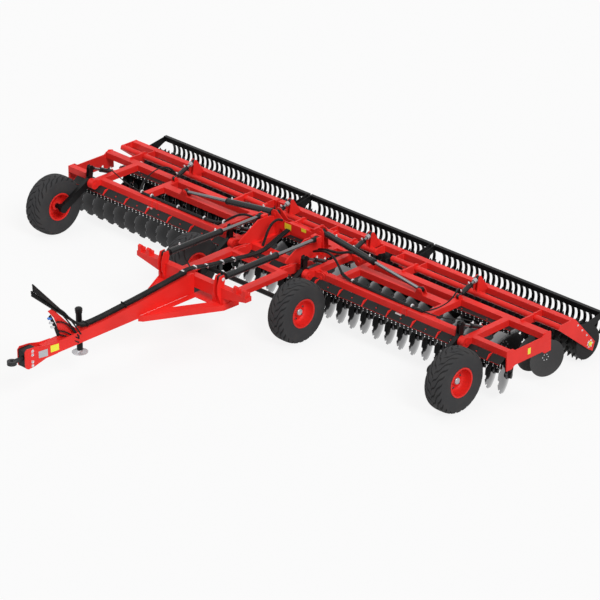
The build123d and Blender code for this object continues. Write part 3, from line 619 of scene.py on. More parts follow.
@dataclass(frozen=True)
class Wheel:
    """One flotation wheel: treaded tyre, dished rim, hub and nuts.

    Args:
        name: which wheel.
        outward: 1 where the dish faces +X, -1 where it faces -X.
        lugs: how many lugs each half of the tread has.
        groove: depth of the grooves between them.
        nuts: how many wheel nuts there are.
        nut_circle: radius of their circle.
    """

    name: str
    outward: float
    lugs: int = 24
    groove: float = 0.012
    nuts: int = 6
    nut_circle: float = 0.118

    def middle(self) -> np.ndarray:
        """The wheel's centre, from its tyre's box."""
        low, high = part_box(f"{self.name}_tyre")
        return (np.array(low) + np.array(high)) / 2

    def stand(self) -> np.ndarray:
        """Matrix that turns a wheel's own axis from Z to outwards along X."""
        return places([self.middle()], (self.outward, 0, 0))

    def tyre(self) -> Surface:
        """Tyre tread and walls.

        The section runs from one bead over the tread to the other. A point sits at its section radius, less the
        groove depth where a band bent back like a bow crosses it. Around the wheel the bands repeat with each lug,
        and the two halves are half a lug apart.
        """
        half = [(0.145, 0.222), (0.149, 0.236), (0.160, 0.258), (0.168, 0.285), (0.1715, 0.32), (0.1715, 0.355),
                (0.170, 0.385), (0.166, 0.41), (0.160, 0.432), (0.151, 0.450), (0.139, 0.463), (0.124, 0.472),
                (0.106, 0.4785), (0.086, 0.4825), (0.064, 0.485), (0.042, 0.4862), (0.021, 0.4868), (0.0, 0.487)]
        section = curve(half + [(-x, r) for x, r in half[-2::-1]], 84)
        angle = np.linspace(0, 2 * np.pi, 26 * self.lugs, endpoint=False)
        across = section[:, 0:1] / max(x for x, _ in half)
        reach = np.clip(np.abs(across), 0, 1)
        phase = self.lugs * angle[None, :] / (2 * np.pi) + 2.5 * reach ** 1.3 + 0.5 * (across > 0)
        band = np.abs((phase + 0.13 * np.sin(13 * reach)) % 1.0 - 0.5)
        cut = np.clip((0.12 + 0.05 * reach - band) / 0.05, 0, 1)
        tread = np.clip((section[:, 1:2] - 0.428) / 0.02, 0, 1)
        middle = 1 - np.clip((0.035 - np.abs(across)) / 0.03, 0, 1)
        depth = self.groove * cut * tread * middle
        wall = 0.0012 * np.sin(section[:, 1:2] * 420) * (1 - tread) * np.clip((section[:, 1:2] - 0.25) / 0.02, 0, 1)
        radius = section[:, 1:2] - depth
        height = section[:, 0:1] * (1 - 0.35 * depth / 0.17) - np.sign(across) * np.abs(wall) * 0.6
        height = np.broadcast_to(height, radius.shape)
        points = np.stack([radius * np.cos(angle), radius * np.sin(angle), height], axis=-1)[::-1]
        # marks are 1 on the lugs and 0 in the grooves; the rubber paints shade into the grooves from them
        marks = (1 - cut * tread * middle)[::-1]
        inner = np.array([(0.140, 0.217), (-0.140, 0.217)])
        ring = np.stack([inner[:, 1:2] * np.cos(angle), inner[:, 1:2] * np.sin(angle),
                         np.repeat(inner[:, 0:1], len(angle), 1)], axis=-1)
        points = np.concatenate([points, ring])
        return Surface.grid(points, ring=True, loop=True, marks=np.concatenate([marks, np.ones((2, len(angle)))]))

    def rim(self) -> Surface:
        """Rim turned about the axle: lips, barrel, deep dish and hub, rounded where sheet metal bends."""
        lip = [(0.203, -0.150), (0.212, -0.155), (0.226, -0.155), (0.229, -0.151), (0.227, -0.147), (0.214, -0.143)]
        barrel = [(0.214, 0.143), (0.227, 0.147), (0.229, 0.151), (0.226, 0.155), (0.212, 0.155), (0.205, 0.151)]
        dish = curve([(0.205, 0.151), (0.203, 0.120), (0.198, 0.085), (0.190, 0.050), (0.176, 0.020), (0.158, 0.004),
                      (0.140, 0.004), (0.118, 0.014), (0.096, 0.018), (0.080, 0.018)], 26)
        hub = [(0.072, 0.020), (0.068, 0.026), (0.068, 0.044), (0.062, 0.050), (0.052, 0.052), (0.03, 0.052)]
        back = [(0.042, -0.07), (0.075, -0.07), (0.080, -0.05), (0.080, -0.006), (0.140, -0.008), (0.182, 0.006),
                (0.196, -0.02), (0.200, -0.12)]
        return turned(back + lip + barrel + [tuple(p) for p in dish[1:]] + hub, 96)

    def fittings(self) -> Sequence[Surface]:
        """Hub cap, and wheel nuts on a circle."""
        cap = turned([(0.046, 0.050), (0.046, 0.056), (0.050, 0.060), (0.050, 0.072), (0.044, 0.078),
                      (0.02, 0.081)], 40)
        angle = np.linspace(0, 2 * np.pi, self.nuts, endpoint=False) + 0.3
        spots = np.stack([self.nut_circle * np.cos(angle), self.nut_circle * np.sin(angle),
                          np.full(self.nuts, 0.0125)], axis=-1)
        return cap, bolt(0.013, 0.016).copies(places(spots, (0, 0, 1), (0, 1, 0)))

    def build(self) -> None:
        """Makes the wheel's pieces and hides the plain ones."""
        body, stand = f"{self.name}_wheel", self.stand()
        tyre = piece(f"{self.name}_tread_tyre", self.tyre().copies(stand), Finish.TYRE, body, 50.0)
        rim = piece(f"{self.name}_dished_rim", self.rim().copies(stand), Finish.RED, body, 40.0)
        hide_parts(f"{self.name}_tyre")
        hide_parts(f"{self.name}_rim")
        cap, nuts = self.fittings()
        piece(f"{self.name}_hub_cap", cap.copies(stand), Finish.SILVER, body)
        piece(f"{self.name}_wheel_nuts", nuts.copies(stand), Finish.DARK_ZINC, body)


# ---------------------------------------------------------------- discs

PITCH = 0.2475


class Row(Enum):
    """A row of discs: place of its disc 0 and its line across."""

    FRONT = (-4.1145, 1.63)
    REAR = (-4.206, 2.335)
    BORDER = (0.0, 2.445)

    def at(self, number: Union[float, np.ndarray]) -> Union[float, np.ndarray]:
        """Where numbered discs stand along X."""
        return self.value[0] + PITCH * number


@dataclass(frozen=True)
class Section:
    """Which discs a section carries.

    Args:
        name: left, centre or right.
        body: the body that they ride on.
        facing: 1 where the front discs open towards +X, -1 where they open towards -X; the rear discs are opposite.
        front: numbers of the front discs.
        rear: numbers of the rear discs.
        border: x of each plain disc at the end.
    """

    name: str
    body: str
    facing: float
    front: range
    rear: range
    border: Sequence = ()

    def spots(self) -> np.ndarray:
        """Rows of x, y and turn in degrees for the notched discs, then the plain ones."""
        rows = [(kind.at(k), kind.value[1], -SLANT if way > 0 else 180.0 + SLANT)
                for kind, numbers, way in ((Row.FRONT, self.front, self.facing), (Row.REAR, self.rear, -self.facing))
                for k in numbers]
        return np.array(rows + [(x, Row.BORDER.value[1], BORDER_SLANT) for x in self.border])


SECTIONS = (Section("left", "left_wing", 1.0, range(-1, 13), range(0, 13)),
            Section("centre", "machine", -1.0, range(13, 21), range(14, 21)),
            Section("right", "right_wing", -1.0, range(21, 36), range(22, 34), (4.4, 4.655)))


@dataclass(frozen=True)
class Discs:
    """The discs of one section.

    Args:
        section: where they stand.
        radius: of a notched disc, to its points.
        dish: depth of its bowl.
        plate: its thickness.
        plain_radius: radius of a plain disc.
        notches: how many round notches it has.
        notch: radius of a notch.
        notch_reach: how far out a notch is centred, as a share of the radius.
        bolts: how many hold it to its hub.
        bolt_circle: radius of their circle.
        axle_height: height of its middle.
    """

    section: Section
    radius: float = 0.285
    dish: float = 0.05
    plate: float = 0.006
    plain_radius: float = 0.292
    notches: int = 10
    notch: float = 0.036
    notch_reach: float = 1.03
    bolts: int = 6
    bolt_circle: float = 0.048
    axle_height: float = 0.37

    def shape(self, notched: bool) -> Surface:
        """One disc about Z with its hollow upwards.

        The radius at an angle is the full one, or where a notch's circle crosses it, the near side of that circle.
        Rings inside keep a share of it. Height falls with the square of the radius, as on a shallow bowl.
        """
        full = self.radius if notched else self.plain_radius
        span, centre = 2 * np.pi / self.notches, self.notch_reach * full
        half = math.asin(self.notch / centre)
        within = np.array([-1.0, -0.985, -0.9, -0.7, -0.35, 0.0, 0.35, 0.7, 0.9, 0.985, 1.0]) * half
        plain = np.linspace(half, span - half, 6)[1:-1]
        angle = (np.concatenate([within, plain])[None] + np.arange(self.notches)[:, None] * span).ravel()
        offset = (angle + span / 2) % span - span / 2
        sine = np.clip(centre * np.sin(offset), -self.notch, self.notch)
        cut = centre * np.cos(offset) - np.sqrt(self.notch ** 2 - sine ** 2)
        edge = np.where((np.abs(offset) < half) & notched, np.minimum(cut, full), full)
        share = np.array([0.12, 0.3, 0.5, 0.68, 0.82])
        rings = [np.full_like(angle, s * full) for s in share] + [np.minimum(edge - 0.008, 0.925 * full), edge - 0.001]
        bowl = [self.dish * ((r / full) ** 2 - 1) for r in rings]
        upper = [(r, h) for r, h in zip(rings, bowl)]
        rim_low = (edge, bowl[-1] - self.plate * 0.75)
        lower = [(r, h - self.plate) for r, h in zip(rings, bowl)]
        run = lower + [rim_low, (edge, bowl[-1] - 0.001)] + upper[::-1]
        points = np.stack([np.stack([r * np.cos(angle), r * np.sin(angle), h], axis=-1) for r, h in run])
        marks = np.stack([np.clip(r / full, 0, 1) for r, _ in run])
        return Surface.grid(points, ring=True, caps=True, marks=marks)

    def hub(self) -> Surface:
        """Flange behind the disc with the heads of its bolts in the hollow."""
        flange = turned([(0.062, -self.dish - 0.0195), (0.062, -self.dish - 0.006)], 20)
        angle = np.linspace(0, 2 * np.pi, self.bolts, endpoint=False)
        spots = np.stack([self.bolt_circle * np.cos(angle), self.bolt_circle * np.sin(angle),
                          np.full(self.bolts, -self.dish + 0.0014)], axis=-1)
        return Surface.merged([flange, hexagon(0.0105, 0.009).copies(places(spots, (0, 0, 1), (0, 1, 0)))])

    def stands(self) -> np.ndarray:
        """Matrices that turn Z to each disc's own facing."""
        spots = self.section.spots()
        turn = np.radians(spots[:, 2])
        origins = np.column_stack([spots[:, :2], np.full(len(spots), self.axle_height)])
        return places(origins, np.stack([np.cos(turn), np.sin(turn), np.zeros_like(turn)], axis=-1))

    def build(self) -> None:
        """Makes the discs and their bolted hubs."""
        name, body, stands = self.section.name, self.section.body, self.stands()
        notched = len(stands) - len(self.section.border)
        made = piece(f"{name}_notched_discs", self.shape(True).copies(stands[:notched]), Finish.DISC, body,
                     30.0)
        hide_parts(f"{name}_discs")
        if self.section.border:
            plain = self.shape(False).copies(stands[notched:])
            piece(f"{name}_border_discs", plain, Finish.BORDER, body, 30.0)
            piece(f"{name}_border_hubs", self.hub().copies(stands[notched:]), Finish.ZINC, body)
        piece(f"{name}_disc_hubs", self.hub().copies(stands[:notched]), Finish.DARK_ZINC, body)


@dataclass(frozen=True)
class Skirts:
    """Plates and bolts that hang under the beams in front of each disc arm.

    Args:
        section: whose beams they hang under.
        seam: from a front disc back to the next plate's start.
        rear_seam: the same for a rear disc.
        gap: half of the gap between two plates.
        bolt_start: from a plate's start to its first bolt.
        bolt_step: between two bolts.
        bolt_rows: how far the rows of bolts lie under the hem.
        drop: height of the flange.
        front_edge: (y, z) of the front beam's lower front edge.
        front_hem: (y, z) of the upper front edge of its flange.
        rear_edge: the rear beam's edge.
        rear_hem: the rear flange's hem.
    """

    section: Section
    seam: float = 0.127
    rear_seam: float = 0.19
    gap: float = 0.003
    bolt_start: float = 0.035
    bolt_step: float = 0.0825
    bolt_rows: Sequence = (0.02, 0.052)
    drop: float = 0.072
    front_edge: Sequence = (1.504, 0.722)
    front_hem: Sequence = (1.386, 0.646)
    rear_edge: Sequence = (2.304, 0.723)
    rear_hem: Sequence = (2.205, 0.722)

    def ribs(self, spots: np.ndarray, edge: Sequence, hem: Sequence) -> Surface:
        """Three-cornered red plates that stand on the sloping panel and taper from the beam's edge to the hem."""
        (y, z), (back, top) = hem, edge
        proud = back - 0.6 * (back - y)
        outline = [(back - 0.001, top), (proud, top), (y - 0.006, z + 0.004), (y - 0.002, z - 0.008),
                   (back - 0.001, top - 0.007)]
        at = np.column_stack([spots, np.zeros_like(spots), np.zeros_like(spots)])
        return sideways(outline, -0.008, 0.008, 0.002).copies(places(at, (0, 0, 1), (0, 1, 0)))

    def run(self, lows: np.ndarray, edge: Sequence, hem: Sequence, tabs: np.ndarray) -> Sequence:
        """Panels, flanges, strips and bolts of one beam.

        Args:
            lows: x where each plate starts.
            edge: (y, z) of the beam's lower front edge.
            hem: (y, z) of the upper front edge of the flange.
            tabs: x of each small red tab.

        Returns:
            Three surfaces and the bolts' places. A sloping panel joins the beam's edge to the hem, and the flange
            hangs straight down from the hem with two rows of bolts.
        """
        (y, z), (back, top) = hem, edge
        width = PITCH - 2 * self.gap
        panel = sideways([(y, z), (y + 0.003, z - 0.005), (back, top - 0.006), (back, top)], 0, width, 0.001)
        face = [(0, z - self.drop), (width, z - self.drop), (width, z - 0.004), (0, z - 0.004)]
        flange = upright(face, y, y + 0.008, 0.002)
        strip = box((0, width), (y - 0.002, y + 0.002), (z - 0.004, z - 0.001), 0.0008)
        at = np.column_stack([lows, np.zeros_like(lows), np.zeros_like(lows)])
        stands = places(at, (0, 0, 1), (0, 1, 0))
        steps = (lows[:, None] + self.bolt_start + self.bolt_step * np.arange(3)).ravel()
        spots = np.concatenate([np.column_stack([steps, np.full_like(steps, y), np.full_like(steps, z - d)])
                                for d in self.bolt_rows])
        middle, height = (y + back) / 2, (z + top) / 2
        tab = box((-0.009, 0.009), (middle - 0.012, middle), (height - 0.02, height + 0.004), 0.002)
        spread = np.column_stack([tabs, np.zeros_like(tabs), np.zeros_like(tabs)])
        tabs_made = tab.copies(places(spread, (0, 0, 1), (0, 1, 0)))
        return panel.copies(stands), flange.copies(stands), Surface.merged([strip.copies(stands), tabs_made]), spots

    def front(self) -> Sequence:
        """The run along the front beam, in front of the discs' upper edges."""
        numbers = np.array(self.section.front)
        seams = Row.FRONT.at(numbers) - PITCH + self.seam
        ribbed = numbers % 2 == (0 if self.section.name == "left" else 1)
        panels, flanges, strips, spots = self.run(seams + self.gap, self.front_edge, self.front_hem, seams[~ribbed])
        ribs = self.ribs(seams[ribbed], self.front_edge, self.front_hem)
        return panels, flanges, Surface.merged([strips, ribs]), spots

    def rear(self) -> Sequence:
        """The same along the rear beam."""
        numbers = np.array(self.section.rear)
        seams = Row.REAR.at(numbers) - PITCH + self.rear_seam
        return self.run(seams + self.gap, self.rear_edge, self.rear_hem, seams[numbers % 2 == 0])

    def build(self) -> None:
        """Makes both rows."""
        name, body = self.section.name, self.section.body
        for row, parts in (("front", self.front()), ("rear", self.rear())):
            panels, flanges, strips, spots = parts
            piece(f"{name}_{row}_panels", panels, Finish.CHARCOAL, body)
            piece(f"{name}_{row}_flanges", flanges, Finish.BLACK, body)
            piece(f"{name}_{row}_strips", strips, Finish.RED, body)
            heads = hexagon(0.0085, 0.008).copies(places(spots, (0, -1, 0), (0, 0, 1)))
            piece(f"{name}_{row}_flange_bolts", heads, Finish.ZINC, body)


# ---------------------------------------------------------------- rollers

@dataclass(frozen=True)
class Roller:
    """Drum with a smooth band at each end and plates of pointed teeth between them.

    Args:
        name: section that it belongs to.
        drum: radius of the drum.
        band: radius of its end bands.
        tip: radius at the teeth's points.
        axle: radius of the axle.
        stub: how far the axle stands out at each end.
        band_width: width of an end band.
        step: spacing of the toothed plates.
        teeth: how many teeth a plate has.
        lead: turn of each plate against the one before, in radians.
    """

    name: str
    drum: float = 0.236
    band: float = 0.262
    tip: float = 0.299
    axle: float = 0.05
    stub: float = 0.038
    band_width: float = 0.12
    step: float = 0.124
    teeth: int = 14
    lead: float = 0.19

    def build(self) -> None:
        """Makes the drum and its toothed plates, each turned a little against the one before."""
        low, high = (corner[0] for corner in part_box(f"{self.name}_roller"))
        low, high = low + self.stub, high - self.stub
        profile = [(self.axle, low - self.stub), (self.axle, low), (self.band - 0.004, low), (self.band, low + 0.004),
                   (self.band, low + self.band_width), (self.drum, low + self.band_width),
                   (self.drum, high - self.band_width), (self.band, high - self.band_width), (self.band, high - 0.004),
                   (self.band - 0.004, high), (self.axle, high), (self.axle, high + self.stub)]
        shell = turned(profile, 64).copies(places([(0.0, *AXLE)], (1, 0, 0)))
        drum = piece(f"{self.name}_drum", shell, Finish.BLACK, f"{self.name}_roller")
        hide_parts(f"{self.name}_roller")
        count = round((high - low - self.band_width) / self.step)
        across = np.linspace(low + self.band_width * 0.6, high - self.band_width * 0.6, count)
        angle = np.linspace(0, 2 * np.pi, 2 * self.teeth, endpoint=False)
        reach = np.where(np.arange(2 * self.teeth) % 2 == 0, self.tip, self.drum - 0.006)
        star = sideways(list(zip(reach * np.cos(angle), reach * np.sin(angle))), -0.007, 0.007, 0.0015)
        turn = np.arange(count) * self.lead
        stands = np.zeros((count, 4, 4))
        stands[:, 0, 0] = stands[:, 3, 3] = 1.0
        stands[:, 1, 1] = stands[:, 2, 2] = np.cos(turn)
        stands[:, 2, 1], stands[:, 1, 2] = np.sin(turn), -np.sin(turn)
        stands[:, 0, 3], stands[:, 1:3, 3] = across, AXLE
        piece(f"{self.name}_teeth", star.copies(stands), Finish.CHARCOAL, f"{self.name}_roller")


# ---------------------------------------------------------------- hydraulic cylinders

@dataclass(frozen=True)
class Ram:
    """One size of hydraulic cylinder, all alike, on one pair of bodies.

    Args:
        name: start of its bodies' names.
        across: x of each cylinder's base pin.
        base: (y, z) of the base pin.
        tip: offset from the base pin to the rod's pin.
        pin: direction of both pins.
        eye: radius of the rod's eye.
        half: half the width of the rod's eye.
        barrel: barrel's radius.
        length: from the base pin to the barrel's end.
        neck: how far the fork's neck reaches from the rod's pin.
        clips: how many bright spacer clips sit on the rod.
    """

    name: str
    across: Sequence
    base: Sequence
    tip: Sequence
    pin: Sequence
    eye: float
    half: float
    barrel: float
    length: float
    neck: float = 0.09
    clips: int = 0

    def build(self) -> None:
        """Makes the rod's black fork, its clips and the gland and ports on the barrel."""
        way = np.array(self.tip) / np.linalg.norm(self.tip)
        bases = np.array([(x, *self.base) for x in self.across])
        tips = bases + np.array(self.tip)
        shaft = self.barrel * 0.55
        boss = turned([(self.eye - 0.004, -self.half), (self.eye, -self.half + 0.004), (self.eye, self.half - 0.004),
                       (self.eye - 0.004, self.half)], 28)
        neck = turned([(shaft + 0.004, 0.0), (shaft + 0.009, 0.006), (shaft + 0.011, 0.012),
                       (shaft + 0.011, self.neck - self.eye * 0.5)], 24)
        necks = neck.copies(places(tips - way * self.neck, way, self.pin))
        bosses = boss.copies(places(tips, self.pin, way))
        piece(f"{self.name}_rod_ends", Surface.merged([bosses, necks]), Finish.BLACK, f"{self.name}_rod")
        ends = bases + way * self.length
        gland = turned([(shaft + 0.002, 0.012), (self.barrel - 0.006, 0.012), (self.barrel + 0.002, 0.006),
                        (self.barrel + 0.002, -0.03), (self.barrel - 0.002, -0.033)], 32)
        piece(f"{self.name}_glands", gland.copies(places(ends, way, self.pin)), Finish.BLACK, f"{self.name}_barrel")
        rise = np.cross(way, np.array(self.pin, float))
        rise = rise if rise[2] > 0 else -rise
        spots = np.concatenate([bases + way * (self.length * share) + rise * self.barrel for share in (0.26, 0.9)])
        port = Surface.merged([hexagon(0.017, 0.02), turned([(0.011, 0.018), (0.011, 0.034), (0.006, 0.038)], 12)])
        piece(f"{self.name}_ports", port.copies(places(spots, rise, way)), Finish.ZINC, f"{self.name}_barrel")
        if self.clips:
            clip = turned([(shaft + 0.001, 0.0), (shaft + 0.014, 0.001), (shaft + 0.016, 0.003), (shaft + 0.016, 0.014),
                           (shaft + 0.014, 0.016), (shaft + 0.001, 0.017)], 24)
            steps = [tips - way * (self.neck + 0.019 * (n + 1)) for n in range(self.clips)]
            piece(f"{self.name}_spacer_clips", clip.copies(places(np.concatenate(steps), way, self.pin)), Finish.SILVER,
                  f"{self.name}_rod")


WHEEL_RAM = dict(base=(1.905, 0.78), tip=(0.0, -0.48, 0.23), pin=(1, 0, 0), eye=0.0325, half=0.0195, barrel=0.038,
                 length=0.29)
DEPTH_RAM = dict(base=(2.298, 0.862), tip=(0.0, 0.429, 0.169), pin=(1, 0, 0), eye=0.0295, half=0.0225, barrel=0.038,
                 length=0.29, neck=0.05, clips=3)
FOLD_RAM = dict(base=(2.055, 1.161), pin=(0, 1, 0), eye=0.0428, half=0.0325, barrel=0.05, length=1.095, neck=0.056)
RAMS = (Ram("drawbar", (-0.597, 0.597), (-0.18, 1.176), (0.0, 1.993, -0.021), (1, 0, 0), 0.0447, 0.0275, 0.052, 1.15),
        Ram("left_fold", (-0.49,), tip=(-2.035, 0.0, -0.283), **FOLD_RAM),
        Ram("right_fold", (0.49,), tip=(2.035, 0.0, -0.283), **FOLD_RAM),
        Ram("left_wheel", (-4.075,), **WHEEL_RAM), Ram("right_wheel", (3.875,), **WHEEL_RAM),
        Ram("centre_wheel", (-0.865, 0.73), **WHEEL_RAM),
        Ram("left_depth", (-3.047,), **DEPTH_RAM), Ram("right_depth", (3.047,), **DEPTH_RAM),
        Ram("centre_depth", (-0.865, 0.865), **DEPTH_RAM))


# ---------------------------------------------------------------- hoses

@dataclass(frozen=True)
class Hose:
    """One run of hose, or several side by side.

    Args:
        name: its name.
        body: the body that it rides on.
        points: control points of its line.
        radius: radius of one hose.
        lanes: sideways and upward offsets of each hose in the bundle.
        far: body at the other end, where the hose crosses a hinge.
        start: not used; meant as where it would stop following the first body.
        end: not used; meant as where it would only follow the other body.
    """

    name: str
    body: str
    points: Sequence
    radius: float = 0.009
    lanes: Sequence = ((0.0, 0.0, 0.0),)
    far: str = ""
    start: Sequence = ()
    end: Sequence = ()

    def build(self) -> None:
        """Carries a round section along a smooth line through the control points, once for each lane."""
        line = curve(self.points, 12 * len(self.points))
        runs = Surface.merged([tube(line + np.array(lane), self.radius, 10) for lane in self.lanes])
        made = piece(self.name, runs, Finish.HOSE, "" if self.far else self.body)
        if self.far:
            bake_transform(made)


@dataclass(frozen=True)
class Plumbing:
    """All hoses, their clips and their fittings."""

    def runs(self) -> Sequence[Hose]:
        """Every run, from the drawbar to the wings."""
        pair = ((0, 0, 0), (0, 0.02, 0.004))
        trio = ((0, -0.02, 0), (0, 0, 0.006), (0, 0.02, 0))
        thick = ((-0.016, 0, 0), (0.016, 0, 0), (0, 0, 0.02), (-0.03, 0, 0.018), (0.03, 0, 0.018))
        return (
            Hose("left_beam_hoses", "left_wing", [(-3.05, 1.6, 0.84), (-2.83, 1.6, 0.84), (-2.54, 1.61, 0.838),
                 (-2.21, 1.6, 0.842), (-1.87, 1.6, 0.846), (-1.61, 1.6, 0.845), (-1.31, 1.6, 0.87),
                 (-1.2, 1.62, 0.93)], 0.011, trio),
            Hose("left_depth_hose", "left_wing", [(-3.05, 1.61, 0.845), (-3.16, 1.64, 0.87), (-3.28, 1.9, 0.95),
                 (-3.16, 2.15, 1.12), (-3.06, 2.28, 1.02), (-3.05, 2.31, 0.92)], 0.009, pair),
            Hose("left_wheel_hose", "left_wing", [(-3.06, 1.6, 0.845), (-3.35, 1.6, 0.87), (-3.55, 1.61, 0.92),
                 (-3.8, 1.62, 1.0), (-3.98, 1.72, 0.95), (-4.06, 1.8, 0.87)], 0.009),
            Hose("right_beam_hoses", "right_wing", [(1.33, 1.61, 0.9), (1.4, 1.6, 0.862), (1.56, 1.6, 0.842),
                 (1.93, 1.6, 0.838), (2.22, 1.6, 0.838), (2.51, 1.6, 0.838), (2.78, 1.6, 0.84), (3.0, 1.6, 0.842)],
                 0.011, trio),
            Hose("right_depth_hose", "right_wing", [(2.98, 1.61, 0.845), (3.1, 1.64, 0.87), (3.26, 1.9, 0.96),
                 (3.16, 2.15, 1.1), (3.06, 2.28, 1.0), (3.05, 2.31, 0.92)], 0.009, pair),
            Hose("right_wheel_hose", "right_wing", [(2.99, 1.6, 0.845), (3.3, 1.6, 0.85), (3.55, 1.62, 0.9),
                 (3.8, 1.68, 0.98), (3.87, 1.78, 0.88)], 0.009),
            Hose("right_fold_loop", "machine", [(0.56, 1.9, 0.94), (0.66, 1.9, 0.97), (0.77, 1.9, 1.0),
                 (0.88, 1.9, 1.0), (1.03, 1.92, 1.02), (1.14, 1.98, 1.07), (1.2, 2.03, 1.04)], 0.02),
            Hose("right_wing_loop", "machine", [(0.6, 1.75, 0.97), (0.8, 1.72, 1.06), (1.0, 1.66, 1.12),
                 (1.18, 1.61, 1.1), (1.28, 1.6, 1.0), (1.34, 1.6, 0.9), (1.38, 1.6, 0.865)], 0.018, far="right_wing",
                 start=(0.85, 1.7, 1.0), end=(1.35, 1.6, 0.9)),
            Hose("left_wing_loop", "machine", [(-0.6, 1.85, 0.97), (-0.72, 1.84, 1.06), (-0.88, 1.8, 1.1),
                 (-1.03, 1.74, 1.06), (-1.15, 1.66, 0.97), (-1.23, 1.61, 0.9)], 0.018, far="left_wing",
                 start=(-0.95, 1.78, 1.08), end=(-1.2, 1.62, 0.92)),
            Hose("mast_hose", "machine", [(-0.3, 1.98, 1.12), (-0.3, 1.9, 1.17), (-0.3, 1.8, 1.16), (-0.3, 1.72, 1.11),
                 (-0.3, 1.65, 1.01), (-0.3, 1.6, 0.9), (-0.3, 1.56, 0.83)], 0.02),
            Hose("drawbar_to_mast_hoses", "drawbar", [(-0.02, -0.4, 1.115), (-0.05, -0.22, 1.12), (-0.1, 0.0, 1.05),
                 (-0.1, 0.35, 0.98), (-0.1, 0.61, 0.955), (-0.1, 0.89, 0.91), (-0.1, 1.2, 0.86), (-0.1, 1.45, 0.87),
                 (-0.15, 1.62, 0.9), (-0.18, 1.9, 0.95), (-0.18, 1.99, 0.98)], 0.014, thick, far="machine",
                 start=(-0.1, 1.15, 0.87), end=(-0.1, 1.6, 0.87)),
            Hose("left_cylinder_hose", "drawbar", [(-0.6, 0.22, 1.13), (-0.595, 0.2, 1.06), (-0.58, 0.2, 0.99),
                 (-0.53, 0.2, 0.94), (-0.42, 0.15, 0.93), (-0.3, 0.05, 0.97), (-0.18, -0.06, 1.06), (-0.1, -0.1, 1.1)],
                 0.012),
            Hose("coupling_hose_upper", "drawbar", [(0.03, -2.866, 1.38), (0.03, -2.78, 1.33), (0.035, -2.66, 1.16),
                 (0.04, -2.56, 1.0), (0.075, -2.49, 0.86)], 0.011, ((0, 0, 0), (0.012, 0.03, 0.03))),
            Hose("coupling_hose_middle", "drawbar", [(0.03, -2.86, 1.2), (0.04, -2.77, 1.19), (0.045, -2.66, 1.1),
                 (0.05, -2.56, 0.96), (0.08, -2.49, 0.85)], 0.011),
            Hose("coupling_hose_lower", "drawbar", [(0.03, -2.83, 1.05), (0.04, -2.75, 1.03), (0.05, -2.66, 0.96),
                 (0.06, -2.58, 0.89), (0.08, -2.49, 0.83)], 0.011, ((0, 0, 0), (0, -0.01, -0.06))),
        )

    def fan(self) -> None:
        """The long bundle on the spine that rises past the jack and spreads to its couplings.

        Each hose keeps its own lane along the spine. From the last band on, lanes drift apart evenly, and each one
        ends in a turned coupling.
        """
        share = np.linspace(0, 1, 7)
        lane = np.array([-0.036, -0.012, 0.012, 0.036, -0.026, 0.0, 0.026])
        layer = np.array([0.03, 0.03, 0.03, 0.03, 0.0, 0.0, 0.0])
        run, ends = [], []
        for across, up, part in zip(lane, layer, share):
            top = np.array([across * 0.5, -3.235 - 0.05 * part, 1.9 - 0.14 * part])
            foot = np.array([across, -2.44 - up, 1.0 + up * 1.2])
            low = [(across, y, z + up) for y, z in ((-0.33, 1.112), (-1.105, 1.03), (-1.5, 0.997), (-1.985, 0.957),
                                                    (-2.2, 0.95), (-2.37, 0.955))]
            line = curve(low + [foot, foot + (top - foot) * 0.3, foot + (top - foot) * 0.6, top], 110)
            run.append(tube(line, 0.0125, 10))
            ends.append(turned([(0.009, -0.05), (0.013, -0.046), (0.0135, -0.012), (0.011, -0.004), (0.0075, 0.0)], 12)
                        .copies(places([top], top - foot)))
        made = piece("spine_hose_bundle", Surface.merged(run), Finish.HOSE, "drawbar")
        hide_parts("drawbar_hoses")
        piece("hose_couplings", Surface.merged(ends), Finish.BLACK, "drawbar")

    def clips(self) -> None:
        """Bright clips along the bundles: small bowed plates, each with a bolt on top."""
        for body, spots in (("left_wing", [(-3.05, 1.605, 0.85), (-2.825, 1.605, 0.85), (-2.22, 1.605, 0.852),
                                           (-1.63, 1.605, 0.852), (-1.2, 1.615, 0.925)]),
                            ("right_wing", [(1.56, 1.605, 0.85), (2.77, 1.605, 0.85)]),
                            ("drawbar", [(-0.08, -0.07, 1.09), (-0.02, -0.36, 1.125), (-0.1, 0.19, 1.02),
                                         (-0.1, 0.51, 0.975), (-0.1, 0.75, 0.94)])):
            wide = 0.045 if body == "drawbar" else 0.03
            low = [(-wide, -0.022), (wide, -0.022), (wide, 0.01), (wide * 0.6, 0.028), (-wide * 0.6, 0.028),
                   (-wide, 0.01)]
            axis = (0, 1, 0) if body == "drawbar" else (1, 0, 0)
            bands = slab(low, -0.014, 0.014, 0.002).copies(places(spots, axis))
            heads = hexagon(0.009, 0.012).copies(places(np.array(spots) + (0, 0, 0.026), (0, 0, 1), (0, 1, 0)))
            piece(f"{body}_hose_clips", Surface.merged([bands, heads]), Finish.ZINC, body)

    def build(self) -> None:
        """Makes every run and clip."""
        for hose in self.runs():
            hose.build()
        self.fan()
        self.clips()


# ---------------------------------------------------------------- trim

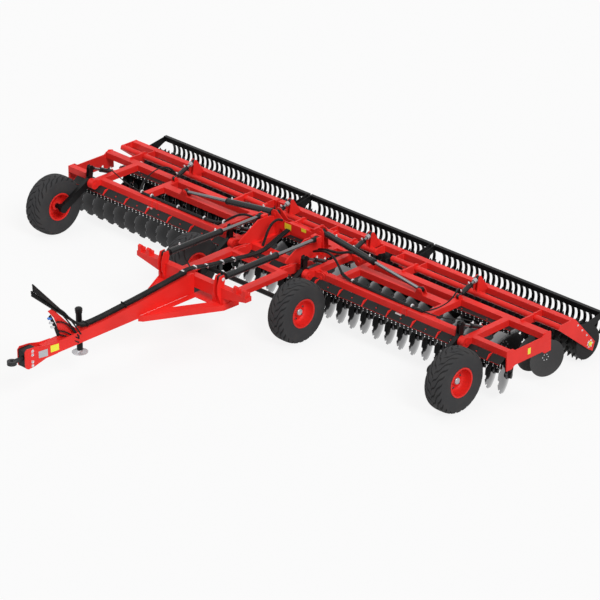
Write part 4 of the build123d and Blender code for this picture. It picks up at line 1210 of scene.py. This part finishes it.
@dataclass(frozen=True)
class Trim:
    """Small plates, bolts, caps and blank labels on the beams, mast and drawbar."""

    def bolts(self, name: str, body: str, spots: Sequence, axis: Sequence, radius: float) -> None:
        """A group of bolt heads along one level axis."""
        piece(name, bolt(radius, radius * 0.8).copies(places(spots, axis)), Finish.ZINC, body)

    def drawbar(self) -> None:
        """Cheek bolts, blank plates, coupling holder, bundle bands and jack cap."""
        for side in (-1, 1):
            heights = ((-3.368, 0.94), (-3.371, 0.883), (-3.372, 0.773), (-3.374, 0.716))
            spots = [(side * 0.085, y, z) for y, z in heights]
            name = "left" if side < 0 else "right"
            self.bolts(f"cheek_bolts_{name}", "drawbar", spots, (side, 0, 0), 0.017)
            head = turned([(0.026, 0.0), (0.028, 0.003), (0.028, 0.01), (0.02, 0.014)], 24)
            piece(f"{name}_horn_pin_head", head.copies(places([(side * 0.649, -0.18, 1.176)], (side, 0, 0))),
                  Finish.WHITE, "drawbar")
        holder = sideways([(-2.99, 1.33), (-2.955, 1.345), (-2.86, 1.15), (-2.80, 0.98), (-2.85, 0.97), (-2.9, 1.12)],
                          0.007, 0.03, 0.003)
        caps = turned([(0.018, 0.0), (0.02, 0.02), (0.02, 0.05), (0.012, 0.06)], 14)
        piece("coupling_holder", holder, Finish.BLACK, "drawbar")
        spots = np.array([(0.02, -2.955, 1.29), (0.02, -2.93, 1.215), (0.02, -2.905, 1.14)])
        for name, spot, finish in (("cap_blue", spots[0], Finish.BLUE), ("cap_pale", spots[1], Finish.WHITE),
                                   ("cap_white", spots[2], Finish.WHITE)):
            piece(f"coupling_{name}", caps.copies(places([spot], (0, -0.9, 0.25))), finish, "drawbar")
        bands = [tube(np.array([(-wide, y, z), (-wide, y, z + 0.055), (wide, y, z + 0.055), (wide, y, z)]), 0.009, 8,
                      (0, 1, 0)) for wide, y, z in ((0.054, -1.553, 0.99), (0.054, -2.3, 0.945))]
        piece("bundle_bands", Surface.merged(bands), Finish.BLACK, "drawbar")
        cap = turned([(0.05, 0.0), (0.056, 0.006), (0.056, 0.05), (0.04, 0.062), (0.01, 0.066)], 8)
        piece("jack_cap", cap.copies(places([(-0.17, -2.27, 1.1)], (0, 0, 1), (0, 1, 0))), Finish.BLACK, "drawbar")

    def foot(self) -> None:
        """The jack's broad foot: a dished round plate under the end of its leg."""
        foot = turned([(0.1, 0.0), (0.117, 0.004), (0.12, 0.012), (0.113, 0.016), (0.07, 0.02), (0.045, 0.036),
                       (0.04, 0.04)], 32)
        piece("jack_foot", foot.copies(places([(-0.17, -2.27, 0.44)], (0, 0, 1), (0, 1, 0))), Finish.SILVER, "jack_leg")

    def labels(self) -> None:
        """Blank films: thin plates with a small gap all round where they were pressed on."""
        cheek, mast = (0.0852, 0.0872), (2.0015, 2.003)
        films = (("spine_plate", "drawbar", Finish.SILVER, sideways, cheek,
                  [(-3.261, 0.896), (-3.091, 0.881), (-3.088, 0.768), (-3.259, 0.79)]),
                 ("spine_label", "drawbar", Finish.YELLOW, sideways, cheek,
                  [(-3.037, 0.908), (-2.881, 0.892), (-2.878, 0.791), (-3.034, 0.801)]),
                 ("end_plate_label", "right_wing", Finish.YELLOW, sideways, (4.7002, 4.702),
                  [(1.96, 0.62), (2.02, 0.62), (2.02, 0.716), (1.96, 0.716)]),
                 ("mast_label_wide", "machine", Finish.YELLOW, upright, mast,
                  [(-0.27, 0.99), (-0.13, 0.99), (-0.13, 1.085), (-0.27, 1.085)]),
                 ("mast_label_small", "machine", Finish.YELLOW, upright, mast,
                  [(0.086, 1.052), (0.19, 1.052), (0.19, 1.108), (0.086, 1.108)]))
        for name, body, finish, shape, (low, high), outline in films:
            piece(name, shape(outline, low, high, 0.0006), finish, body)

    def ends(self) -> None:
        """Bolts and bearing covers on the outer plates of the wings' rollers."""
        angle = np.linspace(0, 2 * np.pi, 6, endpoint=False)
        ring = [(AXLE[0] + 0.052 * np.cos(a), AXLE[1] + 0.052 * np.sin(a)) for a in angle]
        row = [(3.06, 0.7), (3.165, 0.584), (3.27, 0.468), (3.31, 0.33)]
        cover = turned([(0.03, 0.0), (0.034, 0.003), (0.034, 0.012), (0.02, 0.018)], 24)
        for name, x, side in (("left", -4.7, -1), ("right", 4.7, 1)):
            spots = [(x, y, z) for y, z in ring + row]
            self.bolts(f"{name}_end_bolts", f"{name}_roller_frame", spots, (side, 0, 0), 0.011)
            piece(f"{name}_bearing_cover", cover.copies(places([(x, *AXLE)], (side, 0, 0))), Finish.YELLOW,
                  f"{name}_roller_frame")

    def collars(self) -> None:
        """Bands round the front beams, each with a bright plate beside it."""
        for name, x, body in (("left", -2.66, "left_wing"), ("right", 2.69, "right_wing")):
            bands = [box((x + a, x + a + 0.016), (1.494, 1.616), (0.714, 0.834), 0.003) for a in (-0.07, 0.045)]
            piece(f"{name}_beam_collars", Surface.merged(bands), Finish.RED, body)
            plate = box((x - 0.135, x - 0.02), (1.47, 1.5), (0.70, 0.722), 0.003)
            piece(f"{name}_beam_plate", plate, Finish.ZINC, body)

    def build(self) -> None:
        """Makes all of the trim."""
        self.drawbar()
        self.foot()
        self.labels()
        self.ends()
        self.collars()


# ---------------------------------------------------------------- studio

@dataclass(frozen=True)
class Studio:
    """Floor, lights, sky and camera.

    Args:
        floor_size: half the floor's width.
        floor_colour: how pale the floor is.
        floor_glow: share of the floor that is seen as plain white.
        sky_light: strength of the light from all round.
        key: strength and spread of the key lamp.
        top: strength and spread of the top lamp.
        lens: the camera's lens.
        place: where the camera stands.
    """

    floor_size: float = 90.0
    floor_colour: float = 0.82
    floor_glow: float = 0.86
    sky_light: float = 0.36
    key: Sequence = (1.6, 22.0)
    top: Sequence = (0.7, 40.0)
    lens: float = 190.963
    place: Sequence = (31.055, -29.0902, 21.2188)

    def camera(self) -> None:
        """Long lens from the front right, about 26 degrees up; columns are right, up and back."""
        columns = ((0.708402, 0.705809, -0.000544), (-0.308133, 0.309959, 0.899433), (0.634997, -0.636992, 0.437058))
        data = bpy.data.cameras.new("camera")
        data.lens, data.sensor_width, data.clip_end = self.lens, 36.0, 400.0
        made = bpy.data.objects.new("camera", data)
        made.rotation_euler = Matrix(np.array(columns).T.tolist()).to_euler()
        made.location = self.place
        bpy.context.scene.collection.objects.link(made)
        bpy.context.scene.camera = made

    def lamp(self, name: str, towards: Sequence, strength: float, spread: float) -> None:
        """A broad far lamp that shines from the given direction."""
        data = bpy.data.lights.new(name, "SUN")
        data.energy, data.angle = strength, math.radians(spread)
        made = bpy.data.objects.new(name, data)
        back = np.array(towards, float) / np.linalg.norm(towards)
        made.rotation_euler = Matrix(places([(0, 0, 0)], back)[0].tolist()).to_euler()
        bpy.context.scene.collection.objects.link(made)

    def seen(self, tree: bpy.types.NodeTree) -> bpy.types.NodeSocket:
        """1 for rays from the camera, in a mirror or through glass, and 0 for light that falls on things."""
        path = tree.nodes.new("ShaderNodeLightPath")
        total = path.outputs["Is Camera Ray"]
        for name in ("Is Glossy Ray", "Is Transmission Ray"):
            either = tree.nodes.new("ShaderNodeMath")
            either.operation = "MAXIMUM"
            tree.links.new(total, either.inputs[0])
            tree.links.new(path.outputs[name], either.inputs[1])
            total = either.outputs[0]
        return total

    def floor(self) -> None:
        """White floor: diffuse for shadows, topped up to white where it is looked at."""
        material = bpy.data.materials.new("studio_floor")
        material.use_nodes = True
        tree = material.node_tree
        tree.nodes.clear()
        plain, glow, mix, out = [tree.nodes.new(kind) for kind in ("ShaderNodeBsdfDiffuse", "ShaderNodeEmission",
                                                                    "ShaderNodeMixShader", "ShaderNodeOutputMaterial")]
        plain.inputs["Color"].default_value = (*[self.floor_colour] * 3, 1.0)
        share = tree.nodes.new("ShaderNodeMath")
        share.operation = "MULTIPLY"
        tree.links.new(self.seen(tree), share.inputs[0])
        share.inputs[1].default_value = self.floor_glow
        tree.links.new(share.outputs[0], mix.inputs[0])
        tree.links.new(plain.outputs[0], mix.inputs[1])
        tree.links.new(glow.outputs[0], mix.inputs[2])
        tree.links.new(mix.outputs[0], out.inputs[0])
        points = np.array([[-1.0, -1.0, 0.0], [1.0, -1.0, 0.0], [1.0, 1.0, 0.0], [-1.0, 1.0, 0.0]]) * self.floor_size
        mesh = bpy.data.meshes.new("studio_floor")
        mesh.from_pydata(points.tolist(), [], [(0, 1, 2, 3)])
        made = bpy.data.objects.new("studio_floor", mesh)
        made.location.z = -0.002
        mesh.materials.append(material)
        bpy.context.scene.collection.objects.link(made)
        made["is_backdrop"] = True

    def sky(self) -> None:
        """Soft even light all round, seen as white."""
        world = bpy.data.worlds.new("studio")
        world.use_nodes = True
        tree = world.node_tree
        tree.nodes.clear()
        soft, white, mix, out = [tree.nodes.new(kind) for kind in ("ShaderNodeBackground", "ShaderNodeBackground",
                                                                    "ShaderNodeMixShader", "ShaderNodeOutputWorld")]
        soft.inputs["Strength"].default_value = self.sky_light
        white.inputs["Strength"].default_value = 1.0
        tree.links.new(self.seen(tree), mix.inputs[0])
        tree.links.new(soft.outputs[0], mix.inputs[1])
        tree.links.new(white.outputs[0], mix.inputs[2])
        tree.links.new(mix.outputs[0], out.inputs[0])
        soft.inputs["Color"].default_value = (1.0, 1.0, 1.0, 1.0)
        white.inputs["Color"].default_value = (1.0, 1.0, 1.0, 1.0)
        bpy.context.scene.world = world

    def build(self) -> None:
        """Sets up the whole studio."""
        self.camera()
        self.floor()
        self.sky()
        self.lamp("key_lamp", (0.85, -0.25, 0.75), *self.key)
        self.lamp("top_lamp", (-0.2, -0.25, 1.0), *self.top)
        bpy.context.scene.view_settings.view_transform = "Standard"


def corners(limits: object) -> list:
    """A box as plain lists of numbers."""
    return np.array([list(corner) for corner in limits], float).tolist()


def main() -> None:
    """Builds the studio and every sub-assembly in order."""
    logging.basicConfig(level=logging.INFO, format="%(message)s")
    Studio().build()
    Dressing().build()
    for name, outward in (("left", -1.0), ("centre_left", -1.0), ("centre_right", 1.0), ("right", 1.0)):
        Wheel(name, outward).build()
    for section in SECTIONS:
        Discs(section).build()
        Skirts(section).build()
    for name in ("left", "centre", "right"):
        Roller(name).build()
    for ram in RAMS:
        ram.build()
    Plumbing().build()
    Trim().build()
    {"cad": corners(CAD_BOX), "visual": corners(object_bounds())}


if __name__ == "__main__":
    main()
